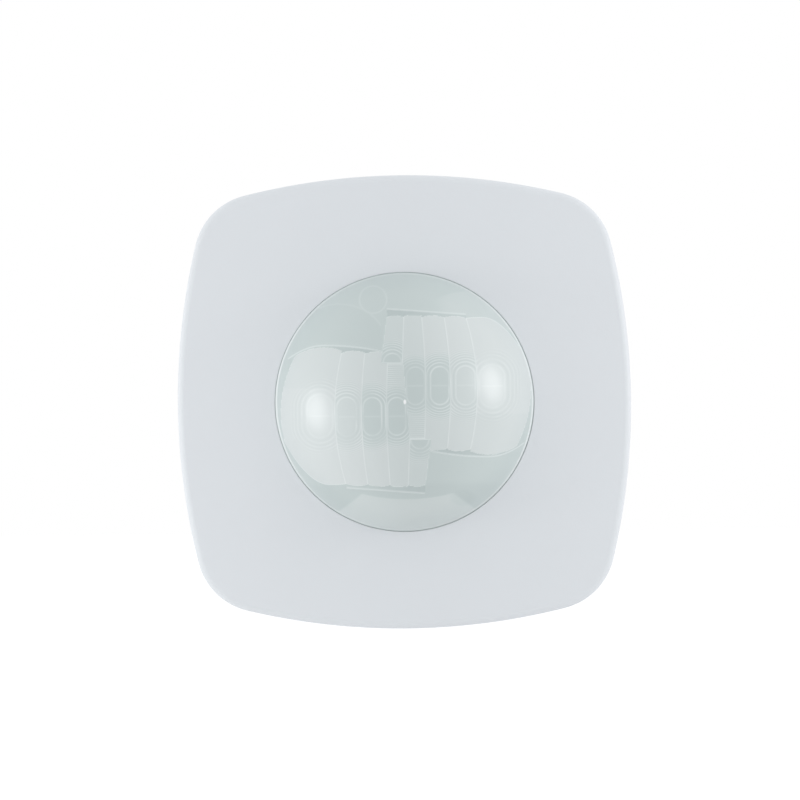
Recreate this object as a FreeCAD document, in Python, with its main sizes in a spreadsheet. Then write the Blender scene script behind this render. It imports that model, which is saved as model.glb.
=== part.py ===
"""Flush-mounted corridor motion sensor: a load insert for a round wall box, a plug-in sensor module with a
domed lens, and a soft-square cover that pulls off over the dome.

Every piece is drawn about the optical axis: local Z runs out of the wall, local Y runs up the wall, and
local Z = 0 is the wall's surface. WALL_FRAME then stands the pieces up, so that the lens looks along -Y.
"""
import FreeCAD, Part
import math
import os
import Sketcher

App = FreeCAD
Vector = App.Vector

# Driving dimensions in millimetres, or degrees where the name says angle.
SIZES = {
    # mounting bracket
    "bracket_width": 71.0,
    "bracket_corner_radius": 8.0,
    "bracket_thickness": 1.2,
    "bracket_opening_radius": 20.0,
    "box_screw_pitch": 60.0,
    "box_screw_hole_radius": 2.1,
    "levelling_slot_length": 12.0,
    "peg_offset_x": 14.0,
    "peg_offset_y": 29.0,
    "peg_radius": 1.5,
    # load insert
    "insert_radius": 26.5,
    "insert_depth": 32.3,
    "insert_wall": 1.6,
    "insert_screw_inset": 3.5,
    "insert_ledge": 0.8,
    "lid_thickness": 1.6,
    "power_board_setback": 10.0,
    "board_thickness": 1.6,
    "insert_boss_radius": 2.2,
    "small_screw_radius": 1.0,
    "small_head_radius": 1.9,
    "small_head_height": 1.1,
    "small_thread_length": 3.0,
    # parts behind the power board, placed from the optical axis
    "relay_length": 20.0,
    "relay_width": 7.4,
    "relay_height": 15.4,
    "relay_x": -7.5,
    "relay_y": 7.7,
    "transformer_x": 10.6,
    "transformer_y": 5.4,
    "transformer_height": 13.0,
    "core_length": 14.0,
    "core_width": 12.0,
    "core_height": 10.0,
    "winding_length": 9.0,
    "winding_width": 12.8,
    "mains_capacitor_length": 13.0,
    "mains_capacitor_width": 5.4,
    "mains_capacitor_height": 11.0,
    "mains_capacitor_x": -9.5,
    "mains_capacitor_y": -6.0,
    "bulk_can_radius": 4.0,
    "bulk_can_height": 12.0,
    "bulk_can_x": 8.0,
    "bulk_can_y": -5.8,
    "varistor_radius": 4.5,
    "varistor_thickness": 3.4,
    "varistor_x": 14.0,
    "varistor_y": -6.1,
    "fuse_radius": 1.6,
    "fuse_length": 9.0,
    "fuse_y": 18.6,
    # terminal block, measured from the optical axis and from its own rear face
    "pole_pitch": 6.35,
    "block_bottom": 23.0,
    "block_height": 11.0,
    "block_depth": 12.0,
    "wire_bore_radius": 1.4,
    "wire_bore_length": 4.0,
    "wire_axis_drop": 14.75,
    "cage_width": 5.0,
    "cage_height": 5.6,
    "cage_depth": 5.2,
    "cage_wall": 0.6,
    "cage_nut_wall": 1.2,
    "cage_travel": 1.8,
    "clamp_screw_radius": 1.45,
    "clamp_head_radius": 2.0,
    "clamp_head_height": 1.4,
    "tongue_thickness": 0.8,
    "tongue_width": 3.0,
    # plug between the insert and the sensor module
    "pin_pitch": 2.54,
    "pin_size": 0.64,
    "pin_reach": 9.5,
    "socket_length": 14.0,
    "socket_width": 5.0,
    # sensor module
    "module_wall": 1.6,
    "seat_ring_inset": 4.8,
    "seat_ring_width": 1.7,
    "seat_ring_height": 1.3,
    "rear_floor": 1.1,
    "board_standoff": 1.4,
    "shell_board_gap": 0.3,
    "shell_plate": 1.8,
    "module_screw_inset": 4.8,
    "module_boss_wall": 1.0,
    # lens
    "lens_skirt_height": 3.0,
    "lens_dome_height": 21.0,
    "lens_wall": 1.0,
    "lens_flange_width": 2.4,
    "lens_flange_thickness": 1.0,
    "lens_facet_relief": 0.3,
    "lens_facet_groove": 0.4,
    "lens_fan_depth": 45.0,
    "strip_edge_0": -5.0,
    "strip_edge_1": 1.2,
    "strip_edge_2": 4.5,
    "strip_edge_3": 9.7,
    "strip_edge_4": 16.3,
    "strip_edge_5": 31.3,
    "strip_top": 17.3,
    "strip_foot_1": 8.1,
    "strip_foot_2": -7.9,
    "strip_foot_3": -10.7,
    "lens_gate_radius": 0.5,
    "lens_gate_height": 0.15,
    "lens_ring_width": 2.4,
    "lens_ring_thickness": 0.7,
    "ear_inset": 4.0,
    "ear_radius": 3.2,
    # sensors under the lens
    "pyro_spread": 9.25,
    "pyro_offset": 3.5,
    "pyro_tilt_angle": 34.0,
    "pyro_can_radius": 4.1,
    "pyro_can_height": 4.2,
    "pyro_flange_radius": 4.6,
    "pyro_flange_thickness": 0.4,
    "pyro_window_width": 4.6,
    "pyro_window_height": 3.4,
    "pyro_seat_depth": 1.2,
    "pyro_seat_shoulder": 1.0,
    "pyro_lead_radius": 0.225,
    "pyro_pin_circle_radius": 2.54,
    "pyro_window_thickness": 0.3,
    "holder_half_width": 15.5,
    "holder_half_length": 9.0,
    "holder_ridge_half_width": 3.0,
    "holder_shoulder": 1.2,
    "guide_x": -6.4,
    "guide_inset": 5.1,
    "guide_radius": 2.4,
    "diode_length": 3.0,
    "diode_width": 2.6,
    "diode_height": 1.2,
    "mask_clearance": 0.2,
    "mask_height": 3.6,
    "mask_thickness": 1.0,
    # parts on the sensor board, beside the holder
    "holder_part_gap": 1.0,
    "controller_width": 7.0,
    "controller_height": 1.2,
    "controller_x": -8.0,
    "receiver_length": 5.0,
    "receiver_width": 4.0,
    "receiver_height": 2.4,
    "receiver_x": 12.0,
    "led_radius": 1.5,
    "led_height": 3.6,
    "board_can_radius": 2.0,
    "board_can_height": 2.4,
    "board_can_x": 6.5,
    "board_can_pitch": 5.5,
    # setting controls, on the circle that carries the layout: the lens fills it, and the module surrounds it
    "control_radius": 33.2,
    "control_lens_gap": 1.2,
    "control_wall_gap": 1.2,
    "dial_radius": 3.0,
    "dial_thickness": 1.25,
    "trimmer_width": 6.0,
    "trimmer_height": 1.2,
    "dip_length": 11.2,
    "dip_width": 5.4,
    "dip_height": 1.9,
    "dip_pitch": 2.54,
    "dip_slot_length": 2.8,
    "dip_slot_width": 1.1,
    "dip_slot_depth": 0.8,
    "dip_travel": 1.4,
    "dip_slider_proud": 0.5,
    "button_radius": 1.7,
    "button_flange_radius": 2.4,
    "button_flange_thickness": 0.35,
    "button_proud": 0.45,
    "button_lip": 0.5,
    "tact_switch_width": 6.0,
    "tact_switch_height": 0.7,
    # cover
    "cover_width": 95.0,
    "cover_side_radius": 144.6,
    "cover_corner_radius": 13.7,
    "cover_face_radius": 294.0,
    "cover_face_thickness": 1.7,
    "cover_side_thickness": 2.0,
    "cover_edge_rounding": 1.6,
    "cover_wall_gap": 0.6,
    "cover_module_clearance": 0.35,
    "cover_lens_clearance": 0.4,
    "clip_width": 8.0,
    "clip_thickness": 1.6,
    "clip_clearance": 0.3,
    # fits
    "running_clearance": 0.1,
    "free_clearance": 0.3,
}

doc = App.newDocument("motion_sensor")
sheet = doc.addObject("Spreadsheet::Sheet", "Sizes")
for row, (alias, value) in enumerate(SIZES.items(), start=1):
    sheet.set(f"A{row}", alias)
    sheet.set(f"B{row}", str(value))
    sheet.setAlias(f"B{row}", alias)
doc.recompute()

DOWN = App.Rotation(Vector(1, 0, 0), 90)
SIDEWAYS = App.Rotation(Vector(0, 1, 0), 90)
WALL_FRAME = App.Placement(Vector(0, 0, 0), DOWN)
NODES = []

# Two radii closer than this, in millimetres, count as one.
SAME_RADIUS = 1e-6


class Size:
    """A length or angle that keeps both its value and the sheet expression that gives it."""

    def __init__(self, value, text):
        self.value = value
        self.text = text

    def _pair(self, other, value, sign):
        other = as_size(other)
        return Size(value(self.value, other.value), f"({self.text} {sign} {other.text})")

    def __add__(self, other):
        return self._pair(other, lambda a, b: a + b, "+")

    def __sub__(self, other):
        return self._pair(other, lambda a, b: a - b, "-")

    def __mul__(self, other):
        return self._pair(other, lambda a, b: a * b, "*")

    def __truediv__(self, other):
        return self._pair(other, lambda a, b: a / b, "/")

    def __radd__(self, other):
        return as_size(other) + self

    def __rsub__(self, other):
        return as_size(other) - self

    def __rmul__(self, other):
        return as_size(other) * self

    def __neg__(self):
        return Size(-self.value, f"(0 - {self.text})")


def as_size(number):
    return number if isinstance(number, Size) else Size(float(number), f"({float(number)!r})")


def square_root(size):
    return Size(math.sqrt(size.value), f"sqrt({size.text})")


def cosine(size):
    return Size(math.cos(math.radians(size.value)), f"cos({size.text})")


def sine(size):
    return Size(math.sin(math.radians(size.value)), f"sin({size.text})")


class Driving:
    """Driving.name is the sheet's cell of that name."""

    def __getattr__(self, name):
        return Size(SIZES[name], f"Sizes.{name}")


D = Driving()
ZERO = as_size(0)
DIAGONALS = (45, 135, 225, 315)
THREE_TURNS = (90, 210, 330)
POLES = range(4)
PIN_COLUMNS = range(-2, 3)
DIP_SLIDERS = range(4)

# Places of the controls round the optical axis, in degrees from local X.
BUTTON_ANGLE = 0
DIP_ANGLE = 180
TIME_ANGLE = 240
LIGHT_ANGLE = 300

# A driver slot and a dial's arrow as shares of the radius they are cut in.
SLOT_SHARE = 0.25
ARROW_TIP, ARROW_BASE, ARROW_HALF_WIDTH = 0.9, 0.65, 0.35

# Radii about the optical axis, outwards and inwards from the circle that the controls stand on.
MODULE_RADIUS = D.control_radius + D.trimmer_width / 2 + D.control_wall_gap + D.module_wall
MODULE_SCREW_CIRCLE = MODULE_RADIUS - D.module_screw_inset
SEAT_RING_RADIUS = MODULE_RADIUS - D.seat_ring_inset
EAR_REACH = MODULE_RADIUS - D.ear_inset
EAR_CENTRE = EAR_REACH - D.ear_radius
LENS_FLANGE_RADIUS = D.control_radius - D.trimmer_width / 2 - D.control_lens_gap
LENS_SKIRT_RADIUS = LENS_FLANGE_RADIUS - D.lens_flange_width
SKIRT_INNER = LENS_SKIRT_RADIUS - D.lens_wall
MASK_RADIUS = SKIRT_INNER - D.mask_clearance
GUIDE_Y = LENS_SKIRT_RADIUS - D.guide_inset
INSERT_SCREW_CIRCLE = D.insert_radius - D.insert_screw_inset

# Heights above the wall, and depths behind it, that follow from the stack of pieces.
LID_BACK = -D.lid_thickness
POWER_BOARD_FRONT = -D.power_board_setback
POWER_BOARD_BACK = POWER_BOARD_FRONT - D.board_thickness
INSERT_BACK = -D.insert_depth
FLOOR_BACK = D.bracket_thickness + D.seat_ring_height
FLOOR_FRONT = FLOOR_BACK + D.rear_floor
BOARD_BACK = FLOOR_FRONT + D.board_standoff
BOARD_FRONT = BOARD_BACK + D.board_thickness
PLATE_BACK = BOARD_FRONT + D.shell_board_gap
PLATE_FRONT = PLATE_BACK + D.shell_plate
FLANGE_BACK = PLATE_FRONT - D.lens_flange_thickness
RING_FRONT = PLATE_FRONT + D.lens_ring_thickness
SKIRT_FRONT = PLATE_FRONT + D.lens_skirt_height
LENS_APEX = SKIRT_FRONT + D.lens_dome_height
LENS_RADIUS = (LENS_SKIRT_RADIUS * LENS_SKIRT_RADIUS / D.lens_dome_height + D.lens_dome_height) / 2
LENS_CENTRE = LENS_APEX - LENS_RADIUS
LENS_INNER = LENS_RADIUS - D.lens_wall
BOARD_RADIUS = MODULE_RADIUS - D.module_wall - D.free_clearance
SEAT_HOLE_RADIUS = SKIRT_INNER + D.free_clearance


def face_sag(radius, face_radius):
    """How far the cover's domed face has dropped at a distance from the axis."""
    return face_radius - square_root(face_radius * face_radius - radius * radius)


COVER_INSIDE = RING_FRONT + D.cover_module_clearance + face_sag(EAR_REACH, D.cover_face_radius)
COVER_CROWN = COVER_INSIDE + D.cover_face_thickness
COVER_HOLE_RADIUS = LENS_SKIRT_RADIUS + D.cover_lens_clearance


# ---------------------------------------------------------------- helpers


def bind(thing, prop, size):
    """Sets a property and ties it to the sheet."""
    setattr(thing, prop, size.value)
    thing.setExpression(prop, size.text)


def register(name, thing):
    """Makes a finished object a sub-part that is exported under its label."""
    thing.Label = name
    thing.Placement = WALL_FRAME
    NODES.append(thing)
    return thing


def node(name, *pieces):
    """A sub-part made from Part objects drawn in local coordinates."""
    return register(name, group(name, *pieces))


def put(thing, x=ZERO, y=ZERO, z=ZERO):
    for axis, size in zip("xyz", map(as_size, (x, y, z))):
        thing.setExpression(f"Placement.Base.{axis}", size.text)
    return thing


def box(name, width, height, depth, x, y, z):
    """A block centred on x and y that stands forward from z."""
    made = doc.addObject("Part::Box", name)
    width, height, depth, x, y = map(as_size, (width, height, depth, x, y))
    bind(made, "Length", width)
    bind(made, "Width", height)
    bind(made, "Height", depth)
    return put(made, x - width / 2, y - height / 2, z)


def cylinder(name, radius, depth, x=ZERO, y=ZERO, z=ZERO, turn=None):
    made = doc.addObject("Part::Cylinder", name)
    bind(made, "Radius", as_size(radius))
    bind(made, "Height", as_size(depth))
    if turn is not None:
        made.Placement = App.Placement(Vector(0, 0, 0), turn)
    return put(made, x, y, z)


def sphere(name, radius, z, y=ZERO):
    made = doc.addObject("Part::Sphere", name)
    bind(made, "Radius", radius)
    return put(made, ZERO, y, z)


def cut(name, base, *tools):
    made = doc.addObject("Part::Cut", name)
    made.Base = base
    made.Tool = tools[0] if len(tools) == 1 else fuse(name + "_tools", *tools)
    return made


def fuse(name, *pieces):
    made = doc.addObject("Part::MultiFuse", name)
    made.Shapes = list(pieces)
    return made


def common(name, first, second):
    made = doc.addObject("Part::MultiCommon", name)
    made.Shapes = [first, second]
    return made


def group(name, *pieces):
    made = doc.addObject("Part::Compound", name)
    made.Links = list(pieces)
    return made


def body_of(name):
    body = doc.addObject("PartDesign::Body", name)
    return register(name, body)


def sketch_on(body, name, role="XY_Plane", lift=ZERO):
    sketch = body.newObject("Sketcher::SketchObject", f"{body.Label}_{name}")
    support = next(f for f in body.Origin.OriginFeatures if f.Role == role)
    sketch.AttachmentSupport = [(support, "")]
    sketch.MapMode = "FlatFace"
    sketch.AttachmentOffset = App.Placement(Vector(0, 0, lift.value), App.Rotation())
    sketch.setExpression("AttachmentOffset.Base.z", lift.text)
    return sketch


def dimension(sketch, kind, places, size):
    """Adds a dimensional constraint and ties it to the sheet. A negative distance swaps its two points."""
    if kind in ("DistanceX", "DistanceY"):
        if abs(size.value) < 1e-9:
            sketch.addConstraint(
                Sketcher.Constraint("PointOnObject", places[2], places[3], -2 if kind == "DistanceX" else -1)
            )
            return
        if size.value < 0:
            places = places[2:] + places[:2]
            size = -size
    index = sketch.addConstraint(Sketcher.Constraint(kind, *places, size.value))
    sketch.setExpression(f"Constraints[{index}]", size.text)


def circle(sketch, radius, x=ZERO, y=ZERO):
    radius, x, y = map(as_size, (radius, x, y))
    index = sketch.addGeometry(Part.Circle(Vector(x.value, y.value, 0), Vector(0, 0, 1), radius.value))
    dimension(sketch, "Radius", [index], radius)
    dimension(sketch, "DistanceX", [-1, 1, index, 3], x)
    dimension(sketch, "DistanceY", [-1, 1, index, 3], y)


def outline(sketch, points, arcs=None):
    """A closed outline through the points. arcs gives a radius for the edge that starts at that point; a
    positive radius bulges to the right of the edge's direction, which is outwards on a left-handed loop."""
    arcs = arcs or {}
    points = [(as_size(x), as_size(y)) for x, y in points]
    edges = []
    for i, (start, end) in enumerate(zip(points, points[1:] + points[:1])):
        a = Vector(start[0].value, start[1].value, 0)
        b = Vector(end[0].value, end[1].value, 0)
        if i in arcs:
            radius = arcs[i]
            half = (b - a) / 2
            depth = math.sqrt(max(radius.value**2 - half.Length**2, 0))
            left = Vector(-half.y, half.x, 0).normalize()
            side = 1 if radius.value > 0 else -1
            centre = a + half + left * depth * side
            bulge = centre - left * abs(radius.value) * side
            edges.append(sketch.addGeometry(Part.Arc(a, bulge, b)))
        else:
            edges.append(sketch.addGeometry(Part.LineSegment(a, b)))
    for i, edge in enumerate(edges):
        follower = edges[(i + 1) % len(edges)]
        clockwise = i in arcs and arcs[i].value < 0
        follower_clockwise = (i + 1) % len(edges) in arcs and arcs[(i + 1) % len(edges)].value < 0
        end_place = 1 if clockwise else 2
        start_place = 2 if follower_clockwise else 1
        sketch.addConstraint(Sketcher.Constraint("Coincident", edge, end_place, follower, start_place))
        x, y = points[(i + 1) % len(edges)]
        dimension(sketch, "DistanceX", [-1, 1, edge, end_place], x)
        dimension(sketch, "DistanceY", [-1, 1, edge, end_place], y)
        if i in arcs:
            radius = arcs[i] if arcs[i].value > 0 else -arcs[i]
            dimension(sketch, "Radius", [edge], radius)


def rectangle(sketch, width, height, x=ZERO, y=ZERO):
    width, height, x, y = map(as_size, (width, height, x, y))
    left, right = x - width / 2, x + width / 2
    low, high = y - height / 2, y + height / 2
    outline(sketch, [(left, low), (right, low), (right, high), (left, high)])


def slot(sketch, length, radius, y):
    """A round-ended slot along local X, centred on X."""
    straight = length / 2 - radius
    ends = []
    for side in (-1, 1):
        middle = Vector(side * straight.value, y.value, 0)
        top, low = middle + Vector(0, radius.value, 0), middle - Vector(0, radius.value, 0)
        bulge = middle + Vector(side * radius.value, 0, 0)
        ends.append(sketch.addGeometry(Part.Arc(low, bulge, top) if side > 0 else Part.Arc(top, bulge, low)))
        dimension(sketch, "Radius", [ends[-1]], radius)
        dimension(sketch, "DistanceX", [-1, 1, ends[-1], 3], side * straight)
        dimension(sketch, "DistanceY", [-1, 1, ends[-1], 3], y)
    for first, second in (ends, reversed(ends)):
        line = sketch.addGeometry(Part.LineSegment(sketch.getPoint(first, 2), sketch.getPoint(second, 1)))
        sketch.addConstraint(Sketcher.Constraint("Tangent", line, 1, first, 2))
        sketch.addConstraint(Sketcher.Constraint("Tangent", line, 2, second, 1))


def feature(body, kind, name, sketch, depth=None, **settings):
    made = body.newObject(f"PartDesign::{kind}", f"{body.Label}_{name}")
    made.Profile = sketch
    if depth is not None:
        bind(made, "Length", depth)
    for prop, value in settings.items():
        setattr(made, prop, value)
    doc.recompute()
    return made


def pad(body, name, sketch, depth):
    return feature(body, "Pad", name, sketch, depth)


def pocket(body, name, sketch, depth, forward=False):
    """Cuts back towards the wall from the sketch, or away from the wall if forward."""
    return feature(body, "Pocket", name, sketch, depth, Reversed=forward)


def revolve(body, name, sketch):
    return feature(body, "Revolution", name, sketch, ReferenceAxis=(sketch, ["V_Axis"]), Angle=360)


def groove(body, name, sketch):
    return feature(body, "Groove", name, sketch, ReferenceAxis=(sketch, ["V_Axis"]), Angle=360)


def polar(body, name, source, count):
    made = body.newObject("PartDesign::PolarPattern", f"{body.Label}_{name}")
    made.Originals = [source]
    z_axis = next(f for f in body.Origin.OriginFeatures if f.Role == "Z_Axis")
    made.Axis = (z_axis, [""])
    made.Angle = 360
    made.Occurrences = count
    body.Tip = made
    doc.recompute()
    return made


def around(radius, angle):
    """The point at a distance from the axis, at an angle from local X."""
    turned = math.radians(angle)
    return radius * round(math.cos(turned), 12), radius * round(math.sin(turned), 12)


# ---------------------------------------------------------------- load insert in the wall box


def mounting_bracket():
    body = body_of("mounting_bracket")
    plate = sketch_on(body, "plate")
    half, corner = D.bracket_width / 2, D.bracket_corner_radius
    reach = half - corner
    points = [
        (reach, -half), (half, -reach), (half, reach), (reach, half),
        (-reach, half), (-half, reach), (-half, -reach), (-reach, -half),
    ]
    outline(sketch=plate, points=points, arcs={0: corner, 2: corner, 4: corner, 6: corner})
    circle(plate, D.bracket_opening_radius)
    for side in (-1, 1):
        circle(plate, D.box_screw_hole_radius, side * D.box_screw_pitch / 2)
        circle(plate, D.peg_radius + D.running_clearance, D.peg_offset_x * side, D.peg_offset_y * side)
    pad(body, "sheet", plate, D.bracket_thickness)
    slots = sketch_on(body, "slots", lift=D.bracket_thickness)
    for side in (-1, 1):
        slot(slots, D.levelling_slot_length, D.box_screw_hole_radius, side * D.box_screw_pitch / 2)
    pocket(body, "levelling_slots", slots, D.bracket_thickness)
    screw = sketch_on(body, "screw", lift=D.bracket_thickness)
    circle(screw, D.small_screw_radius + D.free_clearance, *around(INSERT_SCREW_CIRCLE, 45))
    hole = pocket(body, "screw_hole", screw, D.bracket_thickness)
    polar(body, "screw_holes", hole, 4)


BLOCK_WIDTH = len(POLES) * D.pole_pitch
BLOCK_TOP = D.block_height - D.block_bottom


def insert_housing():
    """A cup whose back is stepped in for the terminal block, with four screw pillars."""
    inner = D.insert_radius - D.insert_wall
    floor = INSERT_BACK + D.insert_wall
    outer = cylinder("housing_outer", D.insert_radius, D.insert_depth - D.lid_thickness, z=INSERT_BACK)
    upper = cylinder("housing_upper", inner, LID_BACK - POWER_BOARD_BACK, z=POWER_BOARD_BACK)
    lower = cylinder("housing_lower", inner - D.insert_ledge, POWER_BOARD_BACK - floor, z=floor)
    cup = cut("housing_cup", outer, upper, lower)
    width = BLOCK_WIDTH + 2 * D.running_clearance
    depth = D.block_depth + D.running_clearance
    top = BLOCK_TOP + D.running_clearance
    reach = D.insert_radius + top
    wall = D.insert_wall
    shroud = box(
        "housing_shroud", width + 2 * wall, reach + wall, depth + wall,
        0, (top + wall - D.insert_radius) / 2, INSERT_BACK,
    )
    bosses = []
    for angle in DIAGONALS:
        x, y = around(INSERT_SCREW_CIRCLE, angle)
        bosses.append(cylinder("housing_boss", D.insert_boss_radius, LID_BACK - floor, x, y, floor))
    filled = fuse("housing_filled", cup, common("housing_shroud_fit", shroud, outer), *bosses)
    recess_middle = (top - D.insert_radius - wall) / 2
    recess = box("housing_recess", width, reach + wall, depth, 0, recess_middle, INSERT_BACK)
    pilot_depth = D.small_thread_length + D.running_clearance
    pilots = []
    for angle in DIAGONALS:
        x, y = around(INSERT_SCREW_CIRCLE, angle)
        pilot = D.small_screw_radius + D.running_clearance / 2
        pilots.append(cylinder("housing_pilot", pilot, pilot_depth, x, y, LID_BACK - pilot_depth))
    node("insert_housing", cut("housing", filled, recess, *pilots))


def insert_lid():
    body = body_of("insert_lid")
    profile = sketch_on(body, "profile", role="XZ_Plane")
    boss = D.bracket_opening_radius - D.free_clearance
    lip = D.insert_radius - D.insert_wall - D.running_clearance
    lip_back = LID_BACK - D.lid_thickness
    outline(profile, [
        (ZERO, LID_BACK), (lip - D.insert_wall, LID_BACK), (lip - D.insert_wall, lip_back), (lip, lip_back),
        (lip, LID_BACK), (D.insert_radius, LID_BACK), (D.insert_radius, ZERO), (boss, ZERO),
        (boss, D.bracket_thickness), (ZERO, D.bracket_thickness),
    ])
    revolve(body, "disc", profile)
    window = sketch_on(body, "window", lift=D.bracket_thickness)
    play = 2 * D.running_clearance
    rectangle(window, D.socket_length + play, D.socket_width + play)
    pocket(body, "socket_window", window, D.bracket_thickness + D.lid_thickness)
    notch = sketch_on(body, "boss_notch", lift=LID_BACK)
    circle(notch, D.insert_boss_radius + D.free_clearance, *around(INSERT_SCREW_CIRCLE, 45))
    polar(body, "boss_notches", pocket(body, "boss_notch_cut", notch, D.lid_thickness), 4)
    screw = sketch_on(body, "screw")
    circle(screw, D.small_screw_radius + D.free_clearance, *around(INSERT_SCREW_CIRCLE, 45))
    polar(body, "screw_holes", pocket(body, "screw_hole", screw, D.lid_thickness), 4)


def slotted_screw(name, head_height, shank_length, x, y, head_back, forward=False):
    """A small screw along Z whose head starts at head_back. It points to the wall, or outwards if forward."""
    head = cylinder(name + "_head", D.small_head_radius, head_height, x, y, head_back)
    slot_back = head_back if forward else head_back + head_height / 2
    shank_back = head_back + head_height if forward else head_back - shank_length
    slot = box(
        name + "_slot", 2 * D.small_head_radius, SLOT_SHARE * D.small_head_radius, head_height / 2,
        x, y, slot_back,
    )
    shank = cylinder(name + "_shank", D.small_screw_radius, shank_length, x, y, shank_back)
    return fuse(name, cut(name + "_slotted", head, slot), shank)


def insert_screws():
    """They hold the bracket and the lid to the housing's pillars."""
    screws = []
    length = D.bracket_thickness + D.lid_thickness + D.small_thread_length
    for angle in DIAGONALS:
        x, y = around(INSERT_SCREW_CIRCLE, angle)
        screws.append(slotted_screw(
            f"insert_screw_{angle}", D.small_head_height, length, x, y, D.bracket_thickness
        ))
    node("insert_screws", *screws)


def power_board():
    radius = D.insert_radius - D.insert_wall - D.running_clearance
    disc = cylinder("power_disc", radius, D.board_thickness, z=POWER_BOARD_BACK)
    notches = []
    for angle in DIAGONALS:
        x, y = around(INSERT_SCREW_CIRCLE, angle)
        notch = D.insert_boss_radius + D.running_clearance
        notches.append(cylinder("power_notch", notch, D.board_thickness, x, y, POWER_BOARD_BACK))
    node("power_board", cut("power_board_cut", disc, *notches))


def on_power_board(name, width, height, depth, x, y):
    """A boxy component that hangs behind the power board."""
    return node(name, box(name + "_block", width, height, depth, x, y, POWER_BOARD_BACK - depth))


def power_parts():
    on_power_board("relay", D.relay_length, D.relay_width, D.relay_height, D.relay_x, D.relay_y)
    on_power_board(
        "mains_capacitor", D.mains_capacitor_length, D.mains_capacitor_width, D.mains_capacitor_height,
        D.mains_capacitor_x, D.mains_capacitor_y,
    )
    core_back = POWER_BOARD_BACK - (D.transformer_height + D.core_height) / 2
    core = box(
        "transformer_core", D.core_length, D.core_width, D.core_height,
        D.transformer_x, D.transformer_y, core_back,
    )
    winding = box(
        "transformer_winding", D.winding_length, D.winding_width, D.transformer_height,
        D.transformer_x, D.transformer_y, POWER_BOARD_BACK - D.transformer_height,
    )
    node("transformer", fuse("transformer_fused", core, winding))
    node("bulk_capacitor", cylinder(
        "bulk_can", D.bulk_can_radius, D.bulk_can_height,
        D.bulk_can_x, D.bulk_can_y, POWER_BOARD_BACK - D.bulk_can_height,
    ))
    node("varistor", cylinder(
        "varistor_disc", D.varistor_radius, D.varistor_thickness,
        D.varistor_x, D.varistor_y, POWER_BOARD_BACK - D.varistor_radius, SIDEWAYS,
    ))
    node("mains_fuse", cylinder(
        "fuse_tube", D.fuse_radius, D.fuse_length,
        -D.fuse_length / 2, D.fuse_y, POWER_BOARD_BACK - D.fuse_radius, SIDEWAYS,
    ))


def socket():
    body = body_of("socket_connector")
    base = sketch_on(body, "base", lift=POWER_BOARD_FRONT)
    rectangle(base, D.socket_length, D.socket_width)
    front = D.bracket_thickness
    pad(body, "block", base, front - POWER_BOARD_FRONT)
    slots = sketch_on(body, "slots", lift=front)
    for side in (-1, 1):
        width = len(PIN_COLUMNS) * D.pin_pitch
        rectangle(slots, width, D.pin_size + 2 * D.free_clearance, 0, side * D.pin_pitch / 2)
    pocket(body, "contact_slots", slots, D.pin_reach - BOARD_BACK + front + D.free_clearance)


def pole_x(pole):
    return (pole - (len(POLES) - 1) / 2) * D.pole_pitch


CAGE_BOTTOM = D.cage_travel + D.clamp_head_height + D.free_clearance + D.cage_nut_wall - D.block_bottom
CAGE_Z = INSERT_BACK + D.wire_bore_length + D.free_clearance
SCREW_Z = CAGE_Z + D.cage_depth / 2
TONGUE_Y = CAGE_BOTTOM + D.cage_nut_wall + D.tongue_thickness / 2 + D.running_clearance


def terminal_block():
    """Four poles side by side, screws facing down, wires entering from behind."""
    middle = BLOCK_TOP - D.block_height / 2
    block = box("block_solid", BLOCK_WIDTH, D.block_height, D.block_depth, 0, middle, INSERT_BACK)
    cuts = []
    play = D.running_clearance
    room_low = CAGE_BOTTOM - D.cage_travel - play
    room_high = CAGE_BOTTOM + D.cage_height + play
    for pole in POLES:
        x = pole_x(pole)
        cuts.append(cylinder(
            "wire_bore", D.wire_bore_radius, D.wire_bore_length + D.free_clearance,
            x, -D.wire_axis_drop, INSERT_BACK,
        ))
        cuts.append(box(
            "cage_room", D.cage_width + 2 * play, room_high - room_low, D.cage_depth + 2 * play,
            x, (room_low + room_high) / 2, CAGE_Z - play,
        ))
        cuts.append(cylinder(
            "head_room", D.clamp_head_radius + 2 * play, D.clamp_head_height + play,
            x, D.clamp_head_height + play - D.block_bottom, SCREW_Z, DOWN,
        ))
        cuts.append(cylinder(
            "shank_room", D.clamp_screw_radius + play, D.block_height / 2,
            x, D.block_height / 2 - D.block_bottom, SCREW_Z, DOWN,
        ))
        cuts.append(box(
            "tongue_room", D.tongue_width + 2 * play, D.tongue_thickness + 2 * play, D.block_depth,
            x, TONGUE_Y, SCREW_Z,
        ))
    node("terminal_block", cut("block_cut", block, *cuts))


def terminal_tongues():
    """Fixed copper strips that the cages pull each wire against."""
    wall = D.insert_wall + D.running_clearance
    strips = []
    for pole in POLES:
        strips.append(box(
            "tongue", D.tongue_width, D.tongue_thickness, D.block_depth - D.wire_bore_length - 2 * wall,
            pole_x(pole), TONGUE_Y, CAGE_Z + wall,
        ))
    node("terminal_tongues", *strips)


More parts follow.
